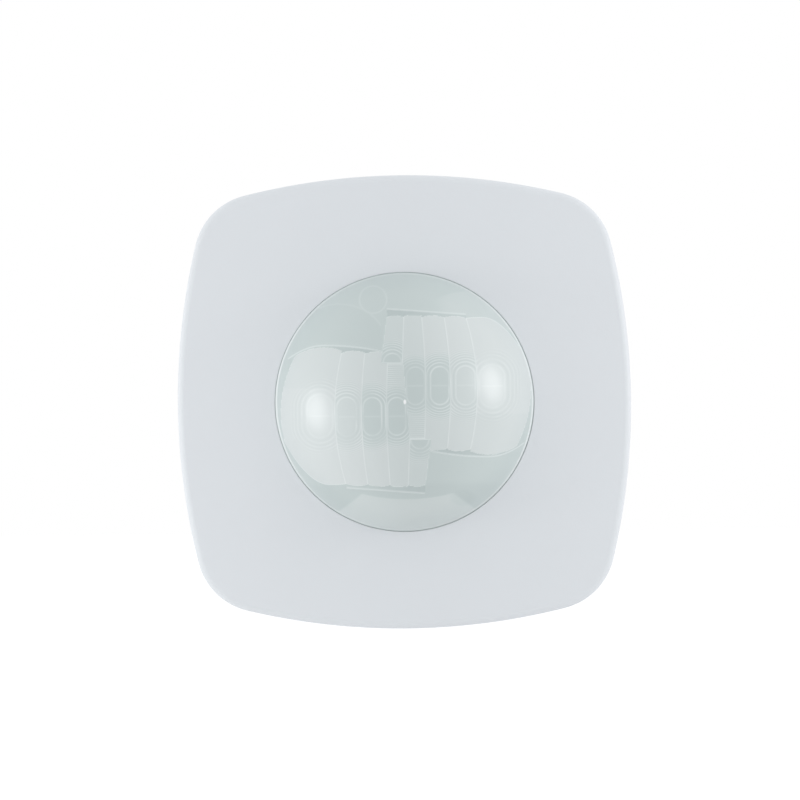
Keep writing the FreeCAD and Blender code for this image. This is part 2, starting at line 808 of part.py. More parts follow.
def clamp_cage(pole):
    x = pole_x(pole)
    middle = CAGE_BOTTOM + D.cage_height / 2
    shell = box(f"cage_shell_{pole}", D.cage_width, D.cage_height, D.cage_depth, x, middle, CAGE_Z)
    mouth_height = D.cage_height - D.cage_nut_wall - D.cage_wall
    mouth_middle = CAGE_BOTTOM + D.cage_nut_wall + mouth_height / 2
    mouth = box(
        f"cage_mouth_{pole}", D.cage_width - 2 * D.cage_wall, mouth_height, D.cage_depth,
        x, mouth_middle, CAGE_Z,
    )
    thread = cylinder(
        f"cage_thread_{pole}", D.clamp_screw_radius + D.running_clearance / 2, D.cage_nut_wall,
        x, CAGE_BOTTOM + D.cage_nut_wall, SCREW_Z, DOWN,
    )
    node(f"clamp_cage_{pole + 1}", cut(f"cage_cut_{pole}", shell, mouth, thread))


def clamp_screw(pole):
    x = pole_x(pole)
    head_top = D.clamp_head_height - D.block_bottom
    tip = CAGE_BOTTOM + D.cage_nut_wall
    head_height = D.clamp_head_height
    head = cylinder(f"clamp_head_{pole}", D.clamp_head_radius, head_height, x, head_top, SCREW_Z, DOWN)
    slot_depth = head_height / 2
    slot_width = SLOT_SHARE * D.clamp_head_radius
    slot = box(
        f"clamp_slot_{pole}", 2 * D.clamp_head_radius, slot_depth, slot_width,
        x, slot_depth / 2 - D.block_bottom, SCREW_Z - slot_width / 2,
    )
    shank = cylinder(f"clamp_shank_{pole}", D.clamp_screw_radius, tip - head_top, x, tip, SCREW_Z, DOWN)
    node(f"clamp_screw_{pole + 1}", fuse(f"clamp_{pole}", cut(f"clamp_slotted_{pole}", head, slot), shank))


# ---------------------------------------------------------------- sensor module


def rear_shell():
    body = body_of("rear_shell")
    floor = sketch_on(body, "floor", lift=FLOOR_BACK)
    circle(floor, MODULE_RADIUS)
    pad(body, "plate", floor, D.rear_floor)
    ring = sketch_on(body, "seat_ring", lift=D.bracket_thickness)
    circle(ring, SEAT_RING_RADIUS)
    circle(ring, SEAT_RING_RADIUS - D.seat_ring_width)
    pad(body, "seat", ring, D.seat_ring_height)
    peg = sketch_on(body, "peg", lift=D.running_clearance * 2)
    circle(peg, D.peg_radius, D.peg_offset_x, D.peg_offset_y)
    polar(body, "pegs", pad(body, "peg_pad", peg, FLOOR_BACK - D.running_clearance * 2), 2)
    boss = sketch_on(body, "boss", lift=D.bracket_thickness + D.free_clearance)
    circle(boss, D.small_head_radius + D.module_boss_wall, *around(MODULE_SCREW_CIRCLE, 45))
    height = BOARD_BACK - D.bracket_thickness - D.free_clearance
    polar(body, "bosses", pad(body, "boss_pad", boss, height), 4)
    screw = sketch_on(body, "screw", lift=BOARD_BACK)
    circle(screw, D.small_screw_radius + D.free_clearance, *around(MODULE_SCREW_CIRCLE, 45))
    polar(body, "screw_holes", pocket(body, "screw_hole", screw, BOARD_BACK), 4)
    sink = sketch_on(body, "sink", lift=D.bracket_thickness)
    circle(sink, D.small_head_radius + D.running_clearance, *around(MODULE_SCREW_CIRCLE, 45))
    sunk = D.free_clearance + D.small_head_height + 2 * D.running_clearance
    polar(body, "head_sinks", pocket(body, "head_sink", sink, sunk, forward=True), 4)
    relief = sketch_on(body, "box_screw_relief", lift=FLOOR_FRONT)
    circle(relief, 2 * D.box_screw_hole_radius, D.box_screw_pitch / 2 - D.box_screw_hole_radius)
    polar(body, "box_screw_reliefs", pocket(body, "relief", relief, D.rear_floor), 4)
    window = sketch_on(body, "window", lift=FLOOR_FRONT)
    rectangle(window, D.socket_length, D.socket_width)
    pocket(body, "pin_window", window, D.rear_floor)


def module_screws():
    """Driven from behind, through the rear shell and the board into the front shell."""
    screws = []
    head_back = D.bracket_thickness + D.free_clearance + D.running_clearance
    length = PLATE_FRONT - D.lens_flange_thickness / 2 - head_back - D.small_head_height
    for angle in DIAGONALS:
        x, y = around(MODULE_SCREW_CIRCLE, angle)
        screws.append(slotted_screw(
            f"module_screw_{angle}", D.small_head_height, length, x, y, head_back, forward=True
        ))
    node("module_screws", *screws)


def sensor_board():
    body = body_of("sensor_board")
    disc = sketch_on(body, "disc", lift=BOARD_BACK)
    circle(disc, BOARD_RADIUS)
    pad(body, "laminate", disc, D.board_thickness)
    hole = sketch_on(body, "hole", lift=BOARD_FRONT)
    circle(hole, D.small_screw_radius + D.free_clearance, *around(MODULE_SCREW_CIRCLE, 45))
    polar(body, "screw_holes", pocket(body, "screw_hole", hole, D.board_thickness), 4)


def pin_header():
    pins = []
    for row_side in (-1, 1):
        for column in PIN_COLUMNS:
            pins.append(box(
                "header_pin", D.pin_size, D.pin_size, D.pin_reach,
                column * D.pin_pitch, row_side * D.pin_pitch / 2, BOARD_BACK - D.pin_reach,
            ))
    collar = box(
        "header_collar", D.socket_length - 2 * D.free_clearance, D.socket_width - 2 * D.free_clearance,
        BOARD_BACK - FLOOR_BACK, 0, 0, FLOOR_BACK,
    )
    node("header_pins", *pins)
    node("pin_header", cut("header_cut", collar, group("header_pin_tools", *pins)))


def front_shell():
    body = body_of("front_shell")
    plate = sketch_on(body, "plate", lift=PLATE_BACK)
    circle(plate, MODULE_RADIUS)
    circle(plate, SEAT_HOLE_RADIUS)
    pad(body, "front", plate, D.shell_plate)
    wall = sketch_on(body, "wall", lift=FLOOR_FRONT)
    circle(wall, MODULE_RADIUS)
    circle(wall, MODULE_RADIUS - D.module_wall)
    pad(body, "side", wall, PLATE_BACK - FLOOR_FRONT)
    seat = sketch_on(body, "seat", lift=PLATE_FRONT)
    circle(seat, LENS_FLANGE_RADIUS + D.running_clearance)
    pocket(body, "lens_seat", seat, D.lens_flange_thickness)
    pilot = sketch_on(body, "pilot", lift=PLATE_BACK)
    pilot_radius = D.small_screw_radius + D.running_clearance / 2
    circle(pilot, pilot_radius, *around(MODULE_SCREW_CIRCLE, 45))
    depth = D.shell_plate - D.lens_flange_thickness / 2 + D.running_clearance
    polar(body, "pilots", pocket(body, "pilot_hole", pilot, depth, forward=True), 4)
    ear = sketch_on(body, "ear_pilot", lift=PLATE_FRONT)
    circle(ear, pilot_radius, *around(EAR_CENTRE, THREE_TURNS[0]))
    polar(body, "ear_pilots", pocket(body, "ear_pilot_hole", ear, D.shell_plate), len(THREE_TURNS))
    for label, angle in (("time", TIME_ANGLE), ("light", LIGHT_ANGLE)):
        x, y = around(D.control_radius, angle)
        under = sketch_on(body, label + "_window", lift=PLATE_BACK)
        room = D.trimmer_width + 2 * D.running_clearance
        rectangle(under, room, room, x, y)
        under_depth = D.trimmer_height - D.shell_board_gap + D.running_clearance
        pocket(body, label + "_pocket", under, under_depth, forward=True)
        hole = sketch_on(body, label + "_hole", lift=PLATE_FRONT)
        circle(hole, D.dial_radius + D.free_clearance, x, y)
        pocket(body, label + "_opening", hole, D.shell_plate)
    dip = sketch_on(body, "dip_window", lift=PLATE_FRONT)
    x, y = around(D.control_radius, DIP_ANGLE)
    rectangle(dip, D.dip_width + 2 * D.running_clearance, D.dip_length + 2 * D.running_clearance, x, y)
    pocket(body, "dip_opening", dip, D.shell_plate)
    x, y = around(D.control_radius, BUTTON_ANGLE)
    switch = sketch_on(body, "switch_room", lift=PLATE_BACK)
    room = D.tact_switch_width + 2 * D.running_clearance
    rectangle(switch, room, room, x, y)
    switch_depth = D.tact_switch_height - D.shell_board_gap + D.running_clearance
    pocket(body, "switch_pocket", switch, switch_depth, forward=True)
    under = sketch_on(body, "button_room", lift=PLATE_BACK)
    circle(under, D.button_flange_radius + D.running_clearance, x, y)
    pocket(body, "button_pocket", under, D.shell_plate - D.button_lip, forward=True)
    hole = sketch_on(body, "button_hole", lift=PLATE_FRONT)
    circle(hole, D.button_radius + D.free_clearance, x, y)
    pocket(body, "button_opening", hole, D.shell_plate)


def lens_ring():
    body = body_of("lens_ring")
    ring = sketch_on(body, "ring", lift=PLATE_FRONT)
    circle(ring, COVER_HOLE_RADIUS + D.lens_ring_width)
    pad(body, "band", ring, D.lens_ring_thickness)
    ear = sketch_on(body, "ear", lift=PLATE_FRONT)
    circle(ear, D.ear_radius, *around(EAR_CENTRE, THREE_TURNS[0]))
    polar(body, "ears", pad(body, "ear_pad", ear, D.lens_ring_thickness), len(THREE_TURNS))
    bore = sketch_on(body, "bore", lift=RING_FRONT)
    circle(bore, COVER_HOLE_RADIUS)
    pocket(body, "opening", bore, D.lens_ring_thickness)
    hole = sketch_on(body, "ear_hole", lift=RING_FRONT)
    circle(hole, D.small_head_radius + D.running_clearance, *around(EAR_CENTRE, THREE_TURNS[0]))
    polar(body, "ear_holes", pocket(body, "ear_hole_cut", hole, D.lens_ring_thickness), len(THREE_TURNS))


def lens_ring_screws():
    """Thin-headed screws that sit flush in the ring's ears."""
    screws = []
    for angle in THREE_TURNS:
        x, y = around(EAR_CENTRE, angle)
        screws.append(slotted_screw(
            f"ring_screw_{angle}", D.lens_ring_thickness, D.shell_plate, x, y, PLATE_FRONT
        ))
    node("lens_ring_screws", *screws)


# Facet strips of one half of the lens: where the strip's two edges would cross the level of the apex, and
# the strip's lower and upper ends. The edges of all strips lie in planes through one line behind the dome.
RIGHT_STRIPS = (
    (D.strip_edge_0, D.strip_edge_1, D.strip_foot_1, D.strip_top),
    (D.strip_edge_1, D.strip_edge_2, D.strip_foot_2, D.strip_top),
    (D.strip_edge_2, D.strip_edge_3, D.strip_foot_3, D.strip_top),
    (D.strip_edge_3, D.strip_edge_4, D.strip_foot_3, D.strip_top),
    (D.strip_edge_4, D.strip_edge_5, D.strip_foot_3, D.strip_top),
)


def lens_dome():
    """One moulded shell. Its facets stand inwards from the dome, and the outside stays smooth."""
    profile = doc.addObject("Sketcher::SketchObject", "lens_profile")
    profile.Placement = App.Placement(Vector(0, 0, 0), DOWN)
    inner_front = LENS_CENTRE + square_root(LENS_INNER * LENS_INNER - SKIRT_INNER * SKIRT_INNER)
    flange_front = FLANGE_BACK + D.lens_flange_thickness
    outline(profile, [
        (ZERO, LENS_APEX - D.lens_wall), (SKIRT_INNER, inner_front), (SKIRT_INNER, FLANGE_BACK),
        (LENS_FLANGE_RADIUS, FLANGE_BACK), (LENS_FLANGE_RADIUS, flange_front),
        (LENS_SKIRT_RADIUS, flange_front), (LENS_SKIRT_RADIUS, SKIRT_FRONT), (ZERO, LENS_APEX),
    ], arcs={0: -LENS_INNER, 6: LENS_RADIUS})
    shell = doc.addObject("Part::Revolution", "lens_shell")
    shell.Source = profile
    shell.Axis = Vector(0, 0, 1)
    shell.Solid = True
    facet_ball = sphere("facet_ball", LENS_INNER + D.lens_wall / 2, LENS_CENTRE)
    facet_core = sphere("facet_core", LENS_INNER - D.lens_facet_relief, LENS_CENTRE)
    facet_skin = cut("facet_skin", facet_ball, facet_core)
    facets = []
    for half_turn in (0, 180):
        for index, strip in enumerate(RIGHT_STRIPS):
            wedge = strip_wedge(f"strip_{half_turn}_{index}", strip, half_turn)
            facets.append(common(f"facet_{half_turn}_{index}", facet_skin, wedge))
    gate = cylinder("lens_gate", D.lens_gate_radius, 2 * D.lens_gate_height, z=LENS_APEX - D.lens_gate_height)
    node("lens_dome", fuse("lens", shell, gate, *facets))


def strip_wedge(name, strip, half_turn):
    """A slab in front of the skirt, between two planes through the fan line, cut off at the strip's ends."""
    first, last, low, high = strip
    fan_z = LENS_CENTRE - D.lens_fan_depth
    levels = (SKIRT_FRONT, LENS_APEX)
    spreads = [(level - fan_z) / (LENS_RADIUS + D.lens_fan_depth) for level in levels]
    half_groove = D.lens_facet_groove / 2
    left = [first * spread + half_groove for spread in spreads]
    right = [last * spread - half_groove for spread in spreads]
    fan = doc.addObject("Sketcher::SketchObject", name + "_fan")
    outline(fan, [(left[0], levels[0]), (right[0], levels[0]), (right[1], levels[1]), (left[1], levels[1])])
    fan.Placement = App.Placement(Vector(0, low.value, 0), DOWN)
    fan.setExpression("Placement.Base.y", low.text)
    wedge = doc.addObject("Part::Extrusion", name)
    wedge.Base = fan
    wedge.DirMode = "Custom"
    wedge.Dir = Vector(0, 1, 0)
    bind(wedge, "LengthFwd", high - low)
    wedge.Solid = True
    wedge.Placement = App.Placement(Vector(0, 0, 0), App.Rotation(Vector(0, 0, 1), half_turn))
    return wedge


HOLDER_SHOULDER = BOARD_FRONT + D.holder_shoulder
HOLDER_SLOPE = D.holder_half_width - D.holder_ridge_half_width
HOLDER_RIDGE = HOLDER_SHOULDER + HOLDER_SLOPE * sine(D.pyro_tilt_angle) / cosine(D.pyro_tilt_angle)


def tilt_of(side):
    return App.Rotation(Vector(0, 1, 0), side * D.pyro_tilt_angle.value)


def along_pyro(side, distance):
    """A point on a sensor's tilted axis, at a distance out from the holder's sloping face."""
    distance = as_size(distance)
    drop = (D.pyro_spread - D.holder_ridge_half_width) * sine(D.pyro_tilt_angle) / cosine(D.pyro_tilt_angle)
    x = side * (D.pyro_spread + distance * sine(D.pyro_tilt_angle))
    z = HOLDER_RIDGE - drop + distance * cosine(D.pyro_tilt_angle)
    return x, side * D.pyro_offset, z


def tilted_cylinder(name, radius, depth, side, distance, shift=(0, 0)):
    """A cylinder along a sensor's tilted axis. shift moves it across that axis."""
    x, y, z = along_pyro(side, distance)
    across, up = shift
    x = x + across * cosine(D.pyro_tilt_angle)
    z = z - side * across * sine(D.pyro_tilt_angle)
    return cylinder(name, radius, depth, x, y + up, z, tilt_of(side))


def tilted_box(name, width, height, depth, side, distance):
    x, y, z = along_pyro(side, distance)
    made = doc.addObject("Part::Box", name)
    bind(made, "Length", width)
    bind(made, "Width", height)
    bind(made, "Height", as_size(depth))
    made.Placement = App.Placement(Vector(0, 0, 0), tilt_of(side))
    x = x - width / 2 * cosine(D.pyro_tilt_angle)
    z = z + side * width / 2 * sine(D.pyro_tilt_angle)
    return put(made, x, y - height / 2, z)


def pyro_holder():
    half, ridge = D.holder_half_width, D.holder_ridge_half_width
    profile = doc.addObject("Sketcher::SketchObject", "holder_profile")
    outline(profile, [
        (-half, BOARD_FRONT), (half, BOARD_FRONT), (half, HOLDER_SHOULDER), (ridge, HOLDER_RIDGE),
        (-ridge, HOLDER_RIDGE), (-half, HOLDER_SHOULDER),
    ])
    profile.Placement = App.Placement(Vector(0, -D.holder_half_length.value, 0), DOWN)
    profile.setExpression("Placement.Base.y", (-D.holder_half_length).text)
    block = doc.addObject("Part::Extrusion", "holder_block")
    block.Base = profile
    block.DirMode = "Custom"
    block.Dir = Vector(0, 1, 0)
    block.Solid = True
    bind(block, "LengthFwd", 2 * D.holder_half_length)
    cuts = []
    for side in (-1, 1):
        seat = D.pyro_flange_radius + D.running_clearance
        cuts.append(tilted_cylinder("holder_seat", seat, 4 * D.pyro_seat_depth, side, -D.pyro_seat_depth))
        duct = D.pyro_can_radius - D.pyro_seat_shoulder
        length = 3 * D.pyro_can_height
        cuts.append(tilted_cylinder("holder_duct", duct, length, side, -length))
    node("pyro_holder", cut("holder_cut", block, *cuts))


def pyro(side, label):
    """A metal can on a thin flange, its filter window and its three leads."""
    flange = tilted_cylinder(
        label + "_flange", D.pyro_flange_radius, D.pyro_flange_thickness, side, -D.pyro_seat_depth
    )
    can = tilted_cylinder(label + "_body", D.pyro_can_radius, D.pyro_can_height, side, -D.pyro_seat_depth)
    window_depth = D.pyro_flange_thickness
    window_back = D.pyro_can_height - D.pyro_seat_depth - window_depth
    opening = tilted_box(
        label + "_opening", D.pyro_window_width, D.pyro_window_height, window_depth * 2, side, window_back
    )
    node(f"pyro_can_{label}", cut(label + "_can", fuse(label + "_metal", flange, can), opening))
    window = tilted_box(
        label + "_filter", D.pyro_window_width, D.pyro_window_height, D.pyro_window_thickness,
        side, window_back,
    )
    node(f"pyro_window_{label}", window)
    pin_circle = D.pyro_pin_circle_radius
    length = 2.5 * D.pyro_can_height
    leads = []
    for shift in ((ZERO, pin_circle), (ZERO, -pin_circle), (pin_circle * side, ZERO)):
        leads.append(tilted_cylinder(
            label + "_lead", D.pyro_lead_radius, length, side, -D.pyro_seat_depth - length, shift
        ))
    return leads


def pyros():
    leads = pyro(-1, "left") + pyro(1, "right")
    depth = D.insert_depth
    below = box("lead_trim", 2 * MODULE_RADIUS, 2 * MODULE_RADIUS, depth, 0, 0, BOARD_FRONT - depth)
    trimmed = [cut(f"lead_{number}", lead, below) for number, lead in enumerate(leads)]
    node("pyro_leads", *trimmed)


def light_guide():
    """A clear rod that brings daylight from the lens to the light diode."""
    diode = box("diode_chip", D.diode_length, D.diode_width, D.diode_height, D.guide_x, GUIDE_Y, BOARD_FRONT)
    node("light_diode", diode)
    foot = BOARD_FRONT + D.diode_height
    rod = cylinder("guide_rod", D.guide_radius, LENS_APEX - foot, D.guide_x, GUIDE_Y, foot)
    limit = sphere("guide_limit", LENS_INNER - D.lens_facet_relief - D.free_clearance, LENS_CENTRE)
    node("light_guide", common("guide_cut", rod, limit))


BESIDE_HOLDER = D.holder_half_length + D.holder_part_gap
RECEIVER_Y = BESIDE_HOLDER + D.receiver_width / 2
LED_Y = -(BESIDE_HOLDER + D.led_radius)


def board_parts():
    controller_y = -(BESIDE_HOLDER + D.controller_width / 2)
    node("microcontroller", box(
        "controller_chip", D.controller_width, D.controller_width, D.controller_height,
        D.controller_x, controller_y, BOARD_FRONT,
    ))
    node("infrared_receiver", box(
        "receiver_case", D.receiver_length, D.receiver_width, D.receiver_height,
        D.receiver_x, RECEIVER_Y, BOARD_FRONT,
    ))
    barrel = cylinder("led_barrel", D.led_radius, D.led_height, 0, LED_Y, BOARD_FRONT)
    tip = sphere("led_tip", D.led_radius, BOARD_FRONT + D.led_height, LED_Y)
    node("status_led", fuse("led", barrel, tip))
    can_y = -(BESIDE_HOLDER + D.board_can_radius)
    cans = []
    for number in range(2):
        can_x = D.board_can_x + number * D.board_can_pitch
        cans.append(cylinder("board_can", D.board_can_radius, D.board_can_height, can_x, can_y, BOARD_FRONT))
    node("board_capacitors", *cans)


def inner_mask():
    """A pale tray over the board, which hides it from view through the lens."""
    front = BOARD_FRONT + D.mask_height
    body = body_of("inner_mask")
    profile = sketch_on(body, "profile", role="XZ_Plane")
    inner, under = MASK_RADIUS - D.mask_thickness, front - D.mask_thickness
    outline(profile, [
        (inner, BOARD_FRONT), (MASK_RADIUS, BOARD_FRONT), (MASK_RADIUS, front),
        (ZERO, front), (ZERO, under), (inner, under),
    ])
    revolve(body, "tray", profile)
    window = sketch_on(body, "window", lift=front)
    gap = 2 * D.free_clearance
    rectangle(window, 2 * D.holder_half_width + gap, 2 * D.holder_half_length + gap)
    circle(window, D.guide_radius + D.running_clearance, D.guide_x, GUIDE_Y)
    circle(window, D.led_radius + D.free_clearance, ZERO, LED_Y)
    rectangle(window, D.receiver_length + gap, D.receiver_width + gap, D.receiver_x, RECEIVER_Y)
    pocket(body, "openings", window, D.mask_height)


# ---------------------------------------------------------------- setting controls


def trimmer(label, angle):
    """A trimmer base on the board and the dial that turns in it."""
    x, y = around(D.control_radius, angle)
    base = box(label + "_base", D.trimmer_width, D.trimmer_width, D.trimmer_height, x, y, BOARD_FRONT)
    back = BOARD_FRONT + D.trimmer_height + D.running_clearance / 2
    body = body_of(f"{label}_dial")
    disc = sketch_on(body, "disc", lift=back)
    circle(disc, D.dial_radius, x, y)
    pad(body, "knob", disc, D.dial_thickness)
    slot = sketch_on(body, "slot", lift=back + D.dial_thickness)
    rectangle(slot, D.dial_radius, SLOT_SHARE * D.dial_radius, x, y)
    pocket(body, "driver_slot", slot, D.dial_thickness / 2)
    arrow = sketch_on(body, "arrow", lift=back + D.dial_thickness)
    tip = x + ARROW_TIP * D.dial_radius
    base_x = x + ARROW_BASE * D.dial_radius
    wide = ARROW_HALF_WIDTH * D.dial_radius
    outline(arrow, [(base_x, y - wide), (tip, y), (base_x, y + wide)])
    pocket(body, "pointer", arrow, D.dial_thickness / 2)
    return base


def trimmers():
    bases = [trimmer("time", TIME_ANGLE), trimmer("light", LIGHT_ANGLE)]
    node("trimmer_bases", *bases)


def dip_switch():
    """The case of the four-way switch, and its sliders, each in a slot of its own."""
    x, y = around(D.control_radius, DIP_ANGLE)
    case = box("dip_case", D.dip_width, D.dip_length, D.dip_height, x, y, BOARD_FRONT)
    play = D.running_clearance
    slot_floor = BOARD_FRONT + D.dip_height - D.dip_slot_depth
    length = D.dip_slot_length - D.dip_travel - play
    height = D.dip_slot_depth + D.dip_slider_proud - play / 2
    slots = []
    for index in DIP_SLIDERS:
        slider_y = y + (index - (len(DIP_SLIDERS) - 1) / 2) * D.dip_pitch
        slots.append(box(
            "dip_slot", D.dip_slot_length, D.dip_slot_width, D.dip_slot_depth, x, slider_y, slot_floor
        ))
        slider = box(
            f"slider_block_{index}", length, D.dip_slot_width - play, height,
            x - D.dip_travel / 2, slider_y, slot_floor + play / 2,
        )
        node(f"dip_slider_{index + 1}", slider)
    node("dip_switch", cut("dip_cut", case, *slots))


def program_button():
    """The cap under the front plate, and the switch that its stem presses."""
    x, y = around(D.control_radius, BUTTON_ANGLE)
    flange_front = PLATE_FRONT - D.button_lip - D.running_clearance
    flange_back = flange_front - D.button_flange_thickness
    stem_back = BOARD_FRONT + D.tact_switch_height - D.running_clearance
    stem_radius = D.button_radius / 2
    case = box("tact_case", D.tact_switch_width, D.tact_switch_width, D.tact_switch_height, x, y, BOARD_FRONT)
    bore = cylinder("tact_bore", stem_radius + D.running_clearance, D.tact_switch_height, x, y, BOARD_FRONT)
    node("tact_switch", cut("tact_cut", case, bore))
    body = body_of("program_button")
    flange = sketch_on(body, "flange", lift=flange_back)
    circle(flange, D.button_flange_radius, x, y)
    pad(body, "flange_pad", flange, D.button_flange_thickness)
    cap = sketch_on(body, "cap", lift=flange_front)
    circle(cap, D.button_radius, x, y)
    pad(body, "cap_pad", cap, PLATE_FRONT + D.button_proud - flange_front)
    stem = sketch_on(body, "stem", lift=stem_back)
    circle(stem, stem_radius, x, y)
    pad(body, "stem_pad", stem, flange_back - stem_back)


# ---------------------------------------------------------------- cover


def corner_centre(half, side_radius, corner_radius):
    """How far from each axis of a soft square its corner arcs are centred."""
    side_centre = half - side_radius
    link = side_radius - corner_radius
    return (side_centre + square_root(2 * link * link - side_centre * side_centre)) / 2


def corner_reach(half, side_radius, corner_radius):
    """How far a soft square's corners reach from its middle."""
    return math.sqrt(2) * corner_centre(half, side_radius, corner_radius) + corner_radius


def soft_square(sketch, half, side_radius, corner_radius):
    """A square whose sides bow outwards, with round corners that meet the sides smoothly."""
    side_centre = half - side_radius
    link = side_radius - corner_radius
    corner = corner_centre(half, side_radius, corner_radius)
    scale = side_radius / link
    far = side_centre + (corner - side_centre) * scale
    near = corner * scale
    points = [
        (near, -far), (far, -near), (far, near), (near, far),
        (-near, far), (-far, near), (-far, -near), (-near, -far),
    ]
    bends = {edge: corner_radius if edge % 2 == 0 else side_radius for edge in range(8)}
    outline(sketch, points, arcs=bends)


def domed(sketch, crown, face_radius, reach, other_side):
    """The region between the domed face and a flat level on its other side."""
    drop = face_sag(reach, face_radius)
    if other_side.value > crown.value:
        outline(sketch, [
            (reach, crown - drop), (reach, other_side), (ZERO, other_side), (ZERO, crown),
        ], arcs={3: -face_radius})
    else:
        outline(sketch, [
            (ZERO, other_side), (reach, other_side), (reach, crown - drop), (ZERO, crown),
        ], arcs={2: face_radius})


def rim_edges(shape):
    """The names of the edges where the domed face meets the cover's outer sides."""
    side_radii = (D.cover_side_radius.value, D.cover_corner_radius.value)
    names = []
    for index, edge in enumerate(shape.Edges, start=1):
        surfaces = [face.Surface for face in shape.ancestorsOfType(edge, Part.Face)]
        on_face = any(isinstance(s, Part.Sphere) and s.Radius > D.cover_width.value for s in surfaces)
        on_side = any(
            isinstance(s, Part.Cylinder) and min(abs(s.Radius - side) for side in side_radii) < SAME_RADIUS
            for s in surfaces
        )
        if on_face and on_side:
            names.append(f"Edge{index}")
    return names


def cover_frame():
    """A soft-square lid with a domed face, hollow behind, with four clips that grip the module."""
    body = body_of("cover_frame")
    half = D.cover_width / 2
    face_radius = D.cover_face_radius
    back = D.cover_wall_gap
    blank = sketch_on(body, "blank", lift=back)
    outer_form = (half, D.cover_side_radius, D.cover_corner_radius)
    soft_square(blank, *outer_form)
    blank_front = COVER_CROWN + D.cover_face_thickness
    pad(body, "slab", blank, blank_front - back)
    crown = sketch_on(body, "crown", role="XZ_Plane")
    domed(crown, COVER_CROWN, face_radius, corner_reach(*outer_form) + D.free_clearance, blank_front)
    groove(body, "domed_face", crown)
    side = D.cover_side_thickness
    inner_face_radius = face_radius - D.cover_face_thickness
    cavity_radius = half - side - D.free_clearance
    inner_form = (half - side, D.cover_side_radius - side, D.cover_corner_radius - side)
    ledge = COVER_INSIDE - face_sag(corner_reach(*inner_form), inner_face_radius)
    hollow = sketch_on(body, "hollow", lift=ledge)
    soft_square(hollow, *inner_form)
    pocket(body, "soft_square_hollow", hollow, ledge)
    vault = sketch_on(body, "vault", role="XZ_Plane")
    domed(vault, COVER_INSIDE, inner_face_radius, cavity_radius, back)
    groove(body, "domed_hollow", vault)
    clip = sketch_on(body, "clip", lift=FLOOR_BACK)
    clip_inner = MODULE_RADIUS + D.clip_clearance
    rectangle(clip, D.clip_thickness, D.clip_width, clip_inner + D.clip_thickness / 2, ZERO)
    clip_front = COVER_CROWN - D.cover_face_thickness / 2 - face_sag(clip_inner, face_radius)
    polar(body, "clips", pad(body, "clip_arm", clip, clip_front - FLOOR_BACK), 4)
    bore = sketch_on(body, "bore", lift=blank_front)
    circle(bore, COVER_HOLE_RADIUS)
    opened = pocket(body, "lens_opening", bore, blank_front)
    rounding = body.newObject("PartDesign::Fillet", "cover_frame_rounding")
    rounding.Base = (opened, rim_edges(opened.Shape))
    bind(rounding, "Radius", D.cover_edge_rounding)


# ---------------------------------------------------------------- build and export


def build():
    mounting_bracket()
    insert_housing()
    insert_lid()
    insert_screws()
    power_board()
    power_parts()
    socket()
    terminal_block()
    terminal_tongues()
    for pole in POLES:
        clamp_cage(pole)
        clamp_screw(pole)
    rear_shell()
    module_screws()
    sensor_board()
    pin_header()
    front_shell()
    lens_ring()
    lens_ring_screws()
    lens_dome()
    pyro_holder()
    pyros()
    light_guide()
    board_parts()
    inner_mask()
    trimmers()
    dip_switch()
    program_button()
    cover_frame()
    doc.recompute()


def export():
    failed = [thing.Name for thing in doc.Objects if "Invalid" in thing.State or "Error" in thing.State]
    if failed:
        raise RuntimeError(f"these did not build: {failed}")
    for thing in NODES:
        if thing.Shape.isNull() or not thing.Shape.isValid() or not thing.Shape.Solids:
            raise RuntimeError(f"{thing.Label} has no valid solid")
    os.makedirs("parts", exist_ok=True)
    for thing in NODES:
        thing.Shape.exportStep(f"parts/{thing.Label}.step")
        print(f"{thing.Label}: {len(thing.Shape.Solids)} solids, {thing.Shape.Volume:.1f} mm3")


build()
export()
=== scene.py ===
"""The looks of the flush wall motion sensor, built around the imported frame.

Lengths are in metres. The lens and its pattern are drawn in millimetres on the lens's front view, with x
to the viewer's right and y up, because its grooves are tenths of a millimetre.
"""
import math

import bpy
import numpy as np
from mathutils import Matrix, Vector


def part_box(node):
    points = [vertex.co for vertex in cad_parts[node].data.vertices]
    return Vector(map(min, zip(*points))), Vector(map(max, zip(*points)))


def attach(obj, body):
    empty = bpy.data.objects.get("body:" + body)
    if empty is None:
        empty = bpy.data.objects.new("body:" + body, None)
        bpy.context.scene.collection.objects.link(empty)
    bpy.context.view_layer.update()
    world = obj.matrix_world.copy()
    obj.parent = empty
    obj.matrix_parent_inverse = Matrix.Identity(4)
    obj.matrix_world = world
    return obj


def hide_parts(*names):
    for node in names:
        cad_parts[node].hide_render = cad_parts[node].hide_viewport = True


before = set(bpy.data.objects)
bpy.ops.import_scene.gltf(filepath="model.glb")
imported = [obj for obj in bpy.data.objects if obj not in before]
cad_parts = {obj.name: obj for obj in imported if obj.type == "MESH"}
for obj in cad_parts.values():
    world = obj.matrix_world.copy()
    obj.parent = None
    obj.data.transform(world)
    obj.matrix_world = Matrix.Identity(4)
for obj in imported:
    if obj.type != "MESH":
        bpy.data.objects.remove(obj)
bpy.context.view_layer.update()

MM = 0.001
COVER_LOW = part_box("cover_frame")[0]
LENS_LOW, LENS_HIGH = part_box("lens_dome")
MODULE = "sensor_module"

# ---------------------------------------------------------------- the lens's form

GATE_PROUD = 0.15
GATE_HALF_WIDTH = 0.36
GATE_HALF_HEIGHT = 0.62
GATE_DEPTH = 0.1
# The drawn mark is a little lower than the CAD's, and its rim is sunk in the dome.
GATE_CROWN = 0.9 * GATE_PROUD
GATE_SINK = 0.01
GATE_CELLS = 8
DOME_HEIGHT = 20.5
FLANGE_THICKNESS = 1.0
